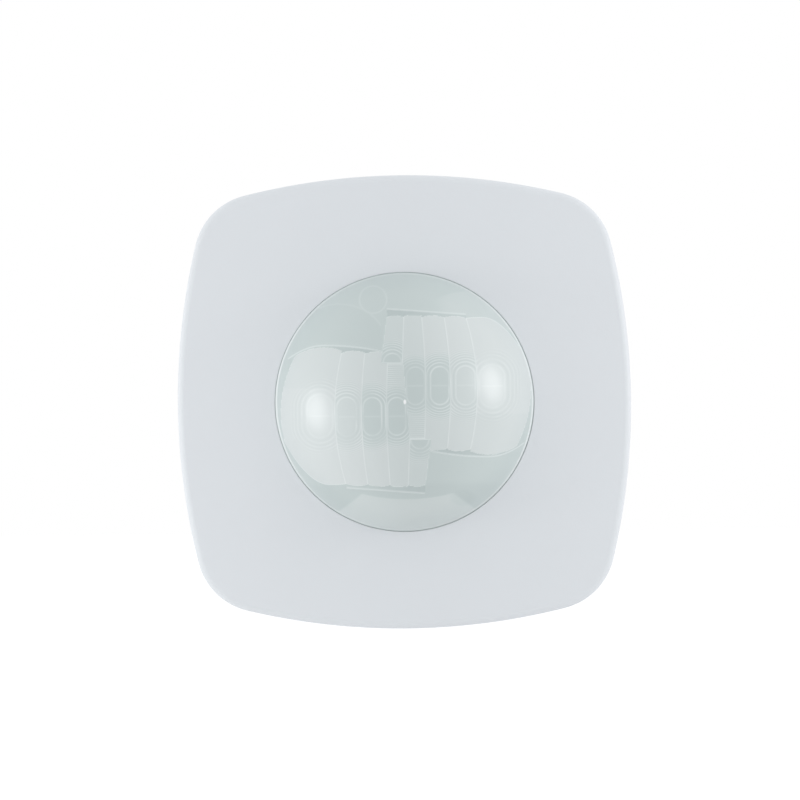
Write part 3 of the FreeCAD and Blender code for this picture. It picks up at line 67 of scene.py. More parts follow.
# The dome ends at its edge. A narrow shoulder round it nearly fills the cover's opening.
EDGE_INSET = 2.15
SHOULDER_INSET = 2.04
SKIRT_INSET = 2.4
SHOULDER_DROP = 0.04
SHOULDER_HEIGHT = 0.7
# Extra points this close to a corner keep the shading flat up to it.
CREASE = 0.01
# The inside isn't seen, so it has few steps.
INSIDE_STEPS = 6
FULL_CELLS = 280
# How far left and up the lens stands in the opening, which leaves the gap widest at the lower right.
SEAT_SHIFT = 0.016
WALL = 1.0
APEX = -LENS_LOW[1] / MM - GATE_PROUD
SKIRT_FRONT = APEX - DOME_HEIGHT
FLANGE_RADIUS = LENS_HIGH[0] / MM
EDGE_RADIUS = FLANGE_RADIUS - EDGE_INSET
SHOULDER_RADIUS = FLANGE_RADIUS - SHOULDER_INSET
SKIRT_RADIUS = FLANGE_RADIUS - SKIRT_INSET
FLANGE_BACK = -LENS_HIGH[1] / MM
DOME_RADIUS = (EDGE_RADIUS**2 + DOME_HEIGHT**2) / (2 * DOME_HEIGHT)
DOME_CENTRE = APEX - DOME_RADIUS

# ---------------------------------------------------------------- the lens's pattern, in millimetres

# The pattern is drawn flat, level with the cover, and thrown onto the dome from this far in front.
DRAWING_LEVEL = 8.0
DRAWING_DISTANCE = 466.7
# The left panel is the right one given half a turn about this point.
HALF_TURN_X = 0.3
HALF_TURN_Y = 0.17
STRIP_TOP = 18.2
STRIP_FEET = {1: 8.2, 2: -7.65, 3: -10.3, 4: -10.5, 5: -11.3}
MIDDLE_Y = 2.5
# How far the strips' ends bulge, the fall of their tops, and the outer strip's rounded corner and foot.
END_BULGE = 0.4
RIBBED_END_BULGE = 0.12
TOP_FALL = 0.0022
CORNER_X = 16.5
CORNER_FALL = 0.09
OUTER_FOOT_X = 17.5
OUTER_FOOT_RISE = 0.05
# The first strip's outer side starts from its foot. The next edge has a kink and a lean each side of it.
FIRST_SIDE_X = -4.95
FIRST_SIDE_LEAN = 0.137
KINK_Y = 7.7
ABOVE_KINK_X = -0.45
ABOVE_KINK_LEAN = 0.044
BELOW_KINK_X = 0.18
BELOW_KINK_LEAN = 0.082
# The other edges: how far out each stands at its middle, and how much it bows.
BOWED_EDGES = {2: (4.4, 0.0028), 3: (9.65, 0.0052), 4: (15.25, 0.0098), 5: (26.6, 0.022)}
RING_CENTRES = {1: -2.5, 2: 2.3, 3: 7.4, 4: 12.8, 5: 18.4}
UPPER_CENTRES = {1: 8.3, 2: 5.4, 3: 5.4, 4: 5.4, 5: 5.0}
LOWER_CENTRE = 1.3
FIRST_RINGS = {1: 1.9, 2: 1.9, 3: 1.95, 4: 2.05, 5: 2.7}
RINGS_SHOWN = {1: 8.0, 2: 7.0, 3: 9.0, 4: 9.0, 5: 6.0}
RING_STRENGTHS = {1: 0.65, 2: 0.6, 3: 0.66, 4: 0.6, 5: 0.36}
RIB_PITCH = 0.42
RIBS_TOP = -3.0
RIB_STRENGTH = 0.55
RIB_TONE = 0.22
# How light each strip is at its top and among its rings, from -1, dark, to 1, light.
TOP_TONES = {1: 0.30, 2: 0.40, 3: 0.58, 4: 0.68, 5: 0.70}
RING_TONES = {1: -0.15, 2: -0.32, 3: -0.15, 4: 0.35, 5: 0.60}
CORE_TONES = {1: -0.30, 2: -0.38, 3: -0.24, 4: 0.40, 5: 0.66}
PLAIN_TONE = -0.15
# The slots' tone is painted shade in their recess.
SLOT_SHADE_TONE = -1.1
# A strip is darker by FOOT_SHADE once it is FOOT_SHADE_BELOW under the lower centre.
FOOT_SHADE = 0.12
FOOT_SHADE_BELOW = 4.0
# The light line across a core, the light guide's circle, the painted highlight on the slots' rims and the
# dim arch's rim.
SPLIT_GLOW = 0.16
GUIDE_GLOW = 0.15
SLOT_RIM_HIGHLIGHT = 0.45
ARCH_RIM_GLOW = 0.11
GUIDE_X = -6.4
GUIDE_Y = 21.5
GUIDE_RADIUS = 2.85
# How far the relief rises: over each strip, more in its middle, at each ring, and along its edge.
STRIP_LIFT = 0.03
PILLOW = 0.05
RIPPLE = 0.007
EDGE_RIDGE = 0.02
# How wide the raised edge is, and how much less a strip's sides show than its ends.
RIDGE_WIDTH = 0.35
SIDE_MARGIN = 0.03
# A strip's values fade in over this distance each side of its end.
END_BLUR = 0.12
# The relief fades out over this distance from the dome's edge.
RELIEF_FADE = 0.4
# The distance to the nearest edge where there is none near.
NO_EDGE = 9.0


def smooth_step(low, high, value):
    t = np.clip((value - low) / (high - low), 0, 1)
    return t * t * (3 - 2 * t)


def strip_edge(index, y):
    """Where a strip's edge lies at a height. Strip n is between edges n - 1 and n."""
    if index == 0:
        return FIRST_SIDE_X + FIRST_SIDE_LEAN * (y - STRIP_FEET[1])
    if index == 1:
        above = ABOVE_KINK_X + ABOVE_KINK_LEAN * (y - KINK_Y)
        return np.where(y > KINK_Y, above, BELOW_KINK_X - BELOW_KINK_LEAN * y)
    middle, bow = BOWED_EDGES[index]
    return middle - bow * (y - MIDDLE_Y) ** 2


class Drawing:
    """The pattern's values at each point: what the mesh lifts and what the lens's material paints."""

    def __init__(self, x):
        self.relief = np.zeros_like(x)
        self.tone = np.full_like(x, PLAIN_TONE)
        self.order = np.zeros_like(x)
        self.rings = np.zeros_like(x)
        self.edge = np.full_like(x, NO_EDGE)
        # glow holds light lines for the material, among them painted highlights on the lens's rim and the
        # slots' rims.
        self.glow = np.zeros_like(x)

    def paint(self, inside, **values):
        for name, value in values.items():
            setattr(self, name, np.where(inside, value, getattr(self, name)))

    def mix(self, share, **values):
        for name, value in values.items():
            before = getattr(self, name)
            setattr(self, name, before + (value - before) * share)


def strip_ends(index, x, across):
    """A strip's top and foot, which bulge a little. The outer strip's corners are well rounded."""
    bulge = (RIBBED_END_BULGE if index == 2 else END_BULGE) * across**2
    top = STRIP_TOP - TOP_FALL * x**2 - bulge
    if index < 5:
        return top, STRIP_FEET[index] + (bulge if index > 2 else 0)
    top = top - CORNER_FALL * np.maximum(x - CORNER_X, 0) ** 2
    return top, STRIP_FEET[5] + OUTER_FOOT_RISE * (x - OUTER_FOOT_X) ** 2


def ring_order(index, x, y):
    """Counts a strip's rings outwards. The first is at 1.5 and each further one a whole number on.

    Strip 1 has round rings. The others' are stretched between an upper and a lower centre.
    """
    sideways = x - RING_CENTRES[index]
    reach = np.hypot(sideways, y - UPPER_CENTRES[index])
    if index > 1:
        reach = np.minimum(reach, np.hypot(sideways, y - LOWER_CENTRE))
        between = (y < UPPER_CENTRES[index]) & (y > LOWER_CENTRE)
        reach = np.where(between, np.abs(sideways), reach)
    return (reach / FIRST_RINGS[index]) ** 2 + 0.5


def strip_tone(index, y, order, in_core):
    """How light a strip is: plain at its ends, with another tone among the rings and in their core."""
    among_rings = 1 - smooth_step(1.5, RINGS_SHOWN[index], order)
    tone = TOP_TONES[index] + (RING_TONES[index] - TOP_TONES[index]) * among_rings
    tone = tone + (CORE_TONES[index] - RING_TONES[index]) * in_core
    return np.where(y < LOWER_CENTRE - FOOT_SHADE_BELOW, tone - FOOT_SHADE, tone)


def ring_strength(index, order):
    """How strongly the rings show: not in the core, and less and less further out."""
    last = RINGS_SHOWN[index]
    shown = RING_STRENGTHS[index] * (1 - smooth_step(last * 0.5, last * 1.2, order))
    return shown * smooth_step(1.1, 1.3, order)


def split_glow(index, y, in_core):
    """The faint light line across a core, halfway between its two centres."""
    if index == 1:
        return np.zeros_like(y)
    halfway = (UPPER_CENTRES[index] + LOWER_CENTRE) / 2
    return SPLIT_GLOW * (1 - smooth_step(0.0, 0.3, np.abs(y - halfway))) * in_core


def draw_strip(drawing, x, y, index):
    """Draws one strip of a panel, and tells which points lie in it."""
    left, right = strip_edge(index - 1, y), strip_edge(index, y)
    across = np.clip((2 * x - left - right) / (right - left), -1, 1)
    top, foot = strip_ends(index, x, across)
    within = (x >= left) & (x < right)
    to_ends = np.minimum(top - y, y - foot)
    inside = within & (to_ends > 0)
    order = ring_order(index, x, y)
    in_core = 1 - smooth_step(1.0, 1.5, order)
    tone = strip_tone(index, y, order, in_core)
    shown = ring_strength(index, order)
    # The foot of strip 2 has straight ribs in place of rings.
    ribbed = (index == 2) & (y < RIBS_TOP)
    order = np.where(ribbed, -y / RIB_PITCH, order)
    shown = np.where(ribbed, RIB_STRENGTH, shown)
    tone = np.where(ribbed, RIB_TONE, tone)
    ripple = 0.5 - 0.5 * np.cos(2 * math.pi * order)
    to_sides = np.minimum(x - left, right - x)
    edge = np.minimum(to_sides + SIDE_MARGIN, to_ends)
    ridge = EDGE_RIDGE * (1 - smooth_step(0.0, RIDGE_WIDTH, edge))
    relief = STRIP_LIFT + PILLOW * (1 - across**2) + RIPPLE * ripple * shown + ridge
    drawing.paint(inside, order=order, rings=shown, glow=split_glow(index, y, in_core))
    drawing.paint(within & (to_ends > -END_BLUR), edge=np.abs(edge))
    drawing.mix(within * smooth_step(-END_BLUR, END_BLUR, to_ends), relief=relief, tone=tone)
    return inside


def soft_line(distance, half_width, fade):
    """1 on a line, and 0 where the distance to it is past its fade."""
    return 1 - smooth_step(half_width, fade, np.abs(distance))


def soft_area(distance, blur):
    """1 inside a border, where the distance is negative, and 0 outside, with a blur between."""
    return 1 - smooth_step(-blur, blur, distance)


def draw_frame_slots(drawing, x, y, strips):
    """Painted shade in the sunk slots between the strips' ends and the panel's rim, and a painted highlight
    as the rim's bright line.
    """
    slot_width, slot_depth, fading = 2.6, 0.04, 0.85
    top_x, top_y, top_fall = -3.1, 19.5, 0.0787
    foot_y, foot_rise = -11.62, 0.009
    top_rim = top_y - top_fall * (x - top_x)
    foot_curve = np.where(x < OUTER_FOOT_X, foot_rise, OUTER_FOOT_RISE)
    foot_rim = foot_y + foot_curve * (x - OUTER_FOOT_X) ** 2
    for past, start, end in ((top_rim - y, -3.5, 13.0), (y - foot_rim, 5.4, 25.0)):
        beside = (x > start) & (x < end) & ~strips
        depth = smooth_step(end, start, x)
        slot = beside & (past > 0) & (past < slot_width)
        # Painted shade in each slot, darkest at its start and lighter towards its end.
        drawing.paint(slot, tone=SLOT_SHADE_TONE + fading * (1 - depth), relief=-slot_depth, edge=NO_EDGE)
        # A painted highlight along the rim's edge.
        line = SLOT_RIM_HIGHLIGHT * soft_line(past, 0.04, 0.26) * beside
        drawing.glow = np.maximum(drawing.glow, line)


def draw_light_guide(drawing, x, y):
    """The light guide's end, which shows dimly through the lens as a circle."""
    circle = np.hypot(x - GUIDE_X, y - GUIDE_Y) - GUIDE_RADIUS
    drawing.glow = np.maximum(drawing.glow, GUIDE_GLOW * soft_line(circle, 0.08, 0.26))


def draw_tray_arches(drawing, x, y):
    """The tray's two arches in the plain areas above the panels: a dim one and a lighter one."""
    dim_x, dim_y, dim_radius, dim_stretch = -13.6, 12.0, 8.6, 1.15
    light_x, light_y, light_radius, light_stretch = 12.6, 15.0, 8.0, 1.2
    dim_shade, light_shade = 0.13, 0.33
    dim_side, rim_foot = -4.9, 13.0
    above = y > 0
    left_side = x < dim_side
    dim_arch = np.hypot((x - dim_x) / dim_stretch, y - dim_y) - dim_radius
    light_arch = np.hypot((x - light_x) / light_stretch, y - light_y) - light_radius
    under_dim = soft_area(dim_arch, 0.12) * left_side
    under_light = soft_area(light_arch, 0.2) * smooth_step(5.0, 10.0, x)
    drawing.tone = drawing.tone - dim_shade * under_dim * above + light_shade * under_light * above
    rim = soft_line(dim_arch, 0.06, 0.24) * (y > rim_foot) * left_side
    drawing.glow = np.maximum(drawing.glow, ARCH_RIM_GLOW * rim)


def draw_foot_patch(drawing, x, y):
    """The light patch with a hollow top at the lens's foot, the shade round it and a darker lobe."""
    middle, top, hollow_depth, hollow_half_width = 0.5, -19.2, 1.2, 9.5
    half_width, flare = 9.6, 0.95
    lobe_x, lobe_y, lobe_radius, lobe_stretch = 12.0, -20.2, 1.7, 1.5
    patch_light, patch_shade, lobe_shade = 0.50, 0.30, 0.25
    hollow = top - hollow_depth * (1 - ((x - middle) / hollow_half_width) ** 2)
    spread = half_width + flare * (hollow - y)
    patch = soft_area(y - hollow, 0.15) * soft_area(np.abs(x - middle) - spread, 0.4)
    shade = patch_shade * smooth_step(-16.5, -18.0, y)
    lobe = soft_area(np.hypot((x - lobe_x) / lobe_stretch, y - lobe_y) - lobe_radius, 0.4)
    drawing.tone = drawing.tone + patch_light * patch - shade * (1 - patch) - lobe_shade * lobe


def draw_rim_highlight(drawing, x, y):
    """A painted highlight along the lens's polished rim, faint all round and brightest at its two sides."""
    rim_inset, least_highlight = 0.22, 0.25
    line = soft_line(np.hypot(x, y) - EDGE_RADIUS + rim_inset, 0.10, 0.32)
    glow = least_highlight + (1 - least_highlight) * (x / EDGE_RADIUS) ** 2
    drawing.glow = np.maximum(drawing.glow, line * glow)


def lens_relief(x, y, z):
    return lens_drawing(x, y, z).relief


def lens_drawing(x, y, z):
    """Draws the pattern on the dome's points, given in millimetres."""
    enlarged = DRAWING_DISTANCE / (DRAWING_DISTANCE + DRAWING_LEVEL - z)
    x, y = x * enlarged, y * enlarged
    drawing = Drawing(x)
    draw_light_guide(drawing, x, y)
    draw_tray_arches(drawing, x, y)
    draw_foot_patch(drawing, x, y)
    panels = ((x, y), (2 * HALF_TURN_X - x, 2 * HALF_TURN_Y - y))
    strips = np.zeros_like(x, dtype=bool)
    for panel_x, panel_y in panels:
        for index in range(2, 6):
            strips |= draw_strip(drawing, panel_x, panel_y, index)
    for panel_x, panel_y in panels:
        strips |= draw_strip(drawing, panel_x, panel_y, 1)
    for panel_x, panel_y in panels:
        draw_frame_slots(drawing, panel_x, panel_y, strips)
    draw_rim_highlight(drawing, x / enlarged, y / enlarged)
    return drawing


# ---------------------------------------------------------------- mesh helpers


def new_mesh(name, points, faces, smooth=True):
    mesh = bpy.data.meshes.new(name)
    mesh.from_pydata(points, [], faces)
    mesh.update()
    mesh.polygons.foreach_set("use_smooth", [smooth] * len(mesh.polygons))
    piece = bpy.data.objects.new(name, mesh)
    bpy.context.collection.objects.link(piece)
    return piece


def disc_grid(cells):
    """A square grid pressed into a unit disc: its points, its faces and its boundary in order."""
    steps = np.linspace(-1, 1, cells + 1)
    u, v = np.meshgrid(steps, steps, indexing="xy")
    x = u * np.sqrt(1 - v**2 / 2)
    y = v * np.sqrt(1 - u**2 / 2)
    width = cells + 1
    corner = (np.arange(cells)[:, None] * width + np.arange(cells)[None, :]).ravel()
    faces = np.stack([corner, corner + 1, corner + width + 1, corner + width], axis=1)
    last = cells * width
    boundary = [
        *range(cells),
        *(cells + row * width for row in range(cells)),
        *(last + cells - column for column in range(cells)),
        *(last - row * width for row in range(cells)),
    ]
    return x.ravel(), y.ravel(), faces, boundary


def cap_of_rings(boundary, loops, first_index):
    """Quads from a boundary down through loops of as many points each, numbered from first_index."""
    count = len(boundary)
    faces = []
    previous = list(boundary)
    for number in range(loops):
        current = [first_index + number * count + step for step in range(count)]
        for step in range(count):
            after = (step + 1) % count
            faces.append((previous[after], previous[step], current[step], current[after]))
        previous = current
    return faces, previous


def shell(name, cells, radius, centre, rim_profile, relief):
    """A dome over a disc, closed down its skirt and up inside by loops that follow rim_profile.

    rim_profile lists (distance from the axis, height) in millimetres, from the rim to the inside middle.
    """
    skirt = rim_profile[0][0]
    unit_x, unit_y, faces, boundary = disc_grid(cells)
    x, y = unit_x * skirt, unit_y * skirt
    flat = np.minimum(x**2 + y**2, skirt**2)
    z = centre + np.sqrt(radius**2 - flat)
    lift = relief(x, y, z) * smooth_step(0, RELIEF_FADE, skirt - np.sqrt(flat))
    x = x + lift * x / radius
    y = y + lift * y / radius
    z = z + lift * (z - centre) / radius
    points = np.stack([x, -z, y], axis=1) * MM
    ring_x = unit_x[boundary]
    ring_y = unit_y[boundary]
    loops = [points]
    for distance, height in rim_profile[1:]:
        loop = np.stack([ring_x * distance, np.full(len(boundary), -height), ring_y * distance], axis=1)
        loops.append(loop * MM)
    side, last = cap_of_rings(boundary, len(rim_profile) - 1, len(points))
    all_faces = [tuple(face) for face in faces] + side + [tuple(last)]
    return new_mesh(name, np.concatenate(loops), all_faces)


def dome_profile(skirt, radius, centre, steps):
    """Points up the inside of a dome, from its skirt towards the middle."""
    found = []
    for step in range(1, steps):
        distance = skirt * (1 - step / steps)
        found.append((distance, centre + math.sqrt(radius**2 - distance**2)))
    return found


# ---------------------------------------------------------------- node helpers


def new_material(name):
    material = bpy.data.materials.new(name)
    material.use_nodes = True
    nodes = material.node_tree.nodes
    return material, nodes, material.node_tree.links, nodes["Principled BSDF"]


def add(nodes, kind, **values):
    node = nodes.new(kind)
    for key, value in values.items():
        if key in node.inputs:
            node.inputs[key].default_value = value
        else:
            setattr(node, key, value)
    return node


def position(nodes):
    return nodes.new("ShaderNodeTexCoord").outputs["Object"]


def noise(nodes, links, scale, detail, roughness=0.5):
    made = add(nodes, "ShaderNodeTexNoise", Scale=scale, Detail=detail, Roughness=roughness)
    links.new(position(nodes), made.inputs["Vector"])
    return made.outputs["Fac"]


def remap(nodes, links, source, low, high, from_low=0.0, from_high=1.0):
    made = nodes.new("ShaderNodeMapRange")
    for key, value in (("From Min", from_low), ("From Max", from_high), ("To Min", low), ("To Max", high)):
        made.inputs[key].default_value = value
    links.new(source, made.inputs["Value"])
    return made.outputs["Result"]


def blend(nodes, links, factor, first, second):
    made = add(nodes, "ShaderNodeMix", data_type="RGBA")
    for key, value in ((6, first), (7, second)):
        if isinstance(value, tuple):
            made.inputs[key].default_value = (*value, 1.0)
        else:
            links.new(value, made.inputs[key])
    links.new(factor, made.inputs[0])
    return made.outputs[2]


def bump(nodes, links, height, distance):
    made = add(nodes, "ShaderNodeBump", Strength=1.0, Distance=distance)
    links.new(height, made.inputs["Height"])
    return made.outputs["Normal"]


def attribute(nodes, name):
    return add(nodes, "ShaderNodeAttribute", attribute_name=name).outputs["Fac"]


def maths(nodes, links, operation, first, second=None):
    made = add(nodes, "ShaderNodeMath", operation=operation)
    for socket, value in zip(made.inputs, (first, second)):
        if value is None:
            continue
        if isinstance(value, float):
            socket.default_value = value
        else:
            links.new(value, socket)
    return made.outputs[0]


def shaded(colour, factor):
    return tuple(min(1.0, channel * factor) for channel in colour)


# ---------------------------------------------------------------- materials

WHITE = (0.765, 0.79, 0.815)


def moulded(name, colour, roughness, grain=0.0004, depth=0.00001, variation=0.03):
    """Injection-moulded plastic: a fine spark-eroded grain and a slight drift in shade and gloss."""
    material, nodes, links, surface = new_material(name)
    drift = noise(nodes, links, 60.0, 3.0)
    darker, lighter = shaded(colour, 1 - variation), shaded(colour, 1 + variation)
    links.new(blend(nodes, links, drift, darker, lighter), surface.inputs["Base Color"])
    fine = noise(nodes, links, 1 / grain, 4.0, 0.6)
    links.new(remap(nodes, links, fine, roughness - 0.06, roughness + 0.06), surface.inputs["Roughness"])
    links.new(bump(nodes, links, fine, depth), surface.inputs["Normal"])
    return material


def metal(name, colour, roughness, grain=0.0006, stretch=(1.0, 1.0, 1.0), depth=0.000004):
    """Plated or drawn metal: fine scratches along one direction and cloudy plating."""
    material, nodes, links, surface = new_material(name)
    mapping = nodes.new("ShaderNodeMapping")
    mapping.inputs["Scale"].default_value = stretch
    links.new(position(nodes), mapping.inputs["Vector"])
    scratches = add(nodes, "ShaderNodeTexNoise", Scale=1 / grain, Detail=4.0)
    links.new(mapping.outputs["Vector"], scratches.inputs["Vector"])
    streaks = remap(nodes, links, scratches.outputs["Fac"], 0.0, 1.0, 0.3, 0.7)
    cloud = noise(nodes, links, 180.0, 3.0)
    plating = blend(nodes, links, cloud, shaded(colour, 0.86), shaded(colour, 1.04))
    scratched = blend(nodes, links, streaks, shaded(colour, 0.84), plating)
    links.new(scratched, surface.inputs["Base Color"])
    links.new(remap(nodes, links, streaks, roughness - 0.06, roughness + 0.08), surface.inputs["Roughness"])
    links.new(bump(nodes, links, scratches.outputs["Fac"], depth), surface.inputs["Normal"])
    surface.inputs["Metallic"].default_value = 1.0
    return material


def circuit_board(name):
    """Green solder resist over glass weave, with the tracks as faint raised lines."""
    material, nodes, links, surface = new_material(name)
    tracks = add(nodes, "ShaderNodeTexBrick", Scale=1.0)
    tracks.inputs["Brick Width"].default_value = 0.009
    tracks.inputs["Row Height"].default_value = 0.0016
    tracks.inputs["Mortar Size"].default_value = 0.00022
    tracks.inputs["Mortar Smooth"].default_value = 0.3
    turned = add(nodes, "ShaderNodeMapping")
    turned.inputs["Rotation"].default_value = (math.radians(90), 0, 0)
    links.new(position(nodes), turned.inputs["Vector"])
    links.new(turned.outputs["Vector"], tracks.inputs["Vector"])
    weave = noise(nodes, links, 900.0, 2.0)
    resist = blend(nodes, links, weave, (0.012, 0.085, 0.040), (0.016, 0.110, 0.052))
    tracked = blend(nodes, links, tracks.outputs["Fac"], resist, (0.030, 0.190, 0.085))
    links.new(tracked, surface.inputs["Base Color"])
    links.new(bump(nodes, links, tracks.outputs["Fac"], 0.00003), surface.inputs["Normal"])
    surface.inputs["Roughness"].default_value = 0.35
    return material


def clear_plastic(name, colour):
    """Clear moulded plastic or glass with a little haze."""
    roughness, haze_roughness = 0.15, 0.08
    material, nodes, links, surface = new_material(name)
    haze = noise(nodes, links, 400.0, 2.0)
    links.new(blend(nodes, links, haze, shaded(colour, 0.96), colour), surface.inputs["Base Color"])
    links.new(remap(nodes, links, haze, roughness, roughness + haze_roughness), surface.inputs["Roughness"])
    surface.inputs["Transmission Weight"].default_value = 0.75
    surface.inputs["IOR"].default_value = 1.49
    return material


LENS_DARK = (0.500, 0.565, 0.560)
LENS_PLAIN = (0.580, 0.645, 0.635)
LENS_LIGHT = (0.712, 0.742, 0.740)
# The colour of the lens's light lines, painted highlights among them.
LENS_LINE_AND_HIGHLIGHT = (0.840, 0.880, 0.875)


def lens_material():
    """Milky polyethylene. The mesh carries the pattern's values, and this paints tones and lines: the
    rings' light lines and the strips' edge lines are painted highlights, and the darker grooves between
    rings are painted shade.
    """
    material, nodes, links, surface = new_material("milky_lens")
    tone = attribute(nodes, "tone")
    lower = blend(nodes, links, remap(nodes, links, tone, 0.0, 1.0, -1.0, 0.0), LENS_DARK, LENS_PLAIN)
    toned = blend(nodes, links, remap(nodes, links, tone, 0.0, 1.0, 0.0, 1.0), lower, LENS_LIGHT)
    cloud = noise(nodes, links, 60.0, 3.0)
    clouded = blend(nodes, links, remap(nodes, links, cloud, 0.0, 0.05), toned, LENS_DARK)
    saw = maths(nodes, links, "FRACT", attribute(nodes, "order"))
    off_ring = maths(nodes, links, "ABSOLUTE", maths(nodes, links, "SUBTRACT", saw, 0.5))
    # Painted highlight: a light line on each ring.
    ring_highlight = remap(nodes, links, off_ring, 0.60, 0.0, 0.06, 0.26)
    patchy = remap(nodes, links, noise(nodes, links, 260.0, 2.0), 0.25, 1.0, 0.35, 0.6)
    strength = maths(nodes, links, "MULTIPLY", attribute(nodes, "rings"), patchy)
    rings = maths(nodes, links, "MULTIPLY", ring_highlight, strength)
    # Painted shade in the grooves between the rings.
    between = remap(nodes, links, off_ring, 0.0, 0.42, 0.25, 0.5)
    groove_shade = maths(nodes, links, "MULTIPLY", between, strength)
    groove_shaded = blend(nodes, links, groove_shade, clouded, LENS_DARK)
    # Painted highlight: a light line along each strip's edge.
    edges = remap(nodes, links, attribute(nodes, "edge"), 0.50, 0.0, 0.05, 0.20)
    lines = maths(nodes, links, "MAXIMUM", rings, edges)
    bright = maths(nodes, links, "MAXIMUM", lines, attribute(nodes, "glow"))
    links.new(blend(nodes, links, bright, groove_shaded, LENS_LINE_AND_HIGHLIGHT), surface.inputs["Base Color"])
    fine = noise(nodes, links, 1500.0, 2.0)
    links.new(remap(nodes, links, fine, 0.28, 0.30), surface.inputs["Roughness"])
    return material


# ---------------------------------------------------------------- pieces


def lens_profile():
    """The lens's section from its edge down the skirt, round the flange and up its inside."""
    flange_front = FLANGE_BACK + FLANGE_THICKNESS
    inner_skirt = SKIRT_RADIUS - WALL
    shoulder_front = SKIRT_FRONT - SHOULDER_DROP
    shoulder_back = shoulder_front - SHOULDER_HEIGHT
    outside = [
        (EDGE_RADIUS, SKIRT_FRONT),
        (EDGE_RADIUS + CREASE, SKIRT_FRONT),
        (SHOULDER_RADIUS - CREASE, shoulder_front),
        (SHOULDER_RADIUS, shoulder_front),
        (SHOULDER_RADIUS, shoulder_front - CREASE),
        (SHOULDER_RADIUS, shoulder_back),
        (SKIRT_RADIUS, shoulder_back - SHOULDER_DROP),
        (SKIRT_RADIUS, flange_front),
        (FLANGE_RADIUS, flange_front),
        (FLANGE_RADIUS, FLANGE_BACK),
        (inner_skirt, FLANGE_BACK),
        (inner_skirt, SKIRT_FRONT - WALL),
    ]
    return outside + dome_profile(inner_skirt, DOME_RADIUS - WALL, DOME_CENTRE, INSIDE_STEPS)


def store_drawing(lens):
    """Writes the pattern's values on the lens's points, for its material to read."""
    places = np.empty(len(lens.data.vertices) * 3)
    lens.data.vertices.foreach_get("co", places)
    places = places.reshape(-1, 3) / MM
    height = -places[:, 1]
    drawing = lens_drawing(places[:, 0], places[:, 2], height)
    margin = 0.01
    off_dome = height <= SKIRT_FRONT + margin
    drawing.paint(off_dome, tone=PLAIN_TONE, rings=0.0, edge=NO_EDGE, glow=0.0)
    for name in ("tone", "order", "rings", "edge", "glow"):
        layer = lens.data.attributes.new(name, "FLOAT", "POINT")
        layer.data.foreach_set("value", getattr(drawing, name).astype(np.float32))


def make_lens():
    """The dome, its skirt and flange, and its inside, as one closed shell."""
    cells = FULL_CELLS
    lens = shell("lens", cells, DOME_RADIUS, DOME_CENTRE, lens_profile(), lens_relief)
    store_drawing(lens)
    lens.data.transform(Matrix.Translation(Vector((-SEAT_SHIFT, 0, SEAT_SHIFT)) * MM))
    lens.data.materials.append(lens_material())
    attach(lens, MODULE)
    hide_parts("lens_dome")


def make_gate():
    """The white mark that the moulding gate leaves in the middle of the lens."""
    unit_x, unit_y, faces, boundary = disc_grid(GATE_CELLS)
    crown = GATE_CROWN * (1 - (unit_x**2 + unit_y**2))
    depth = GATE_SINK - APEX - crown
    points = np.stack([unit_x * GATE_HALF_WIDTH, depth, unit_y * GATE_HALF_HEIGHT], axis=1)
    back = points[boundary] + np.array([0.0, GATE_DEPTH, 0.0])
    side, last = cap_of_rings(boundary, 1, len(points))
    all_faces = [tuple(face) for face in faces] + side + [tuple(last)]
    gate = new_mesh("lens_gate_mark", np.concatenate([points, back]) * MM, all_faces)
    gate.data.materials.append(moulded("gate_white", (0.95, 0.96, 0.96), 0.3))
    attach(gate, MODULE)


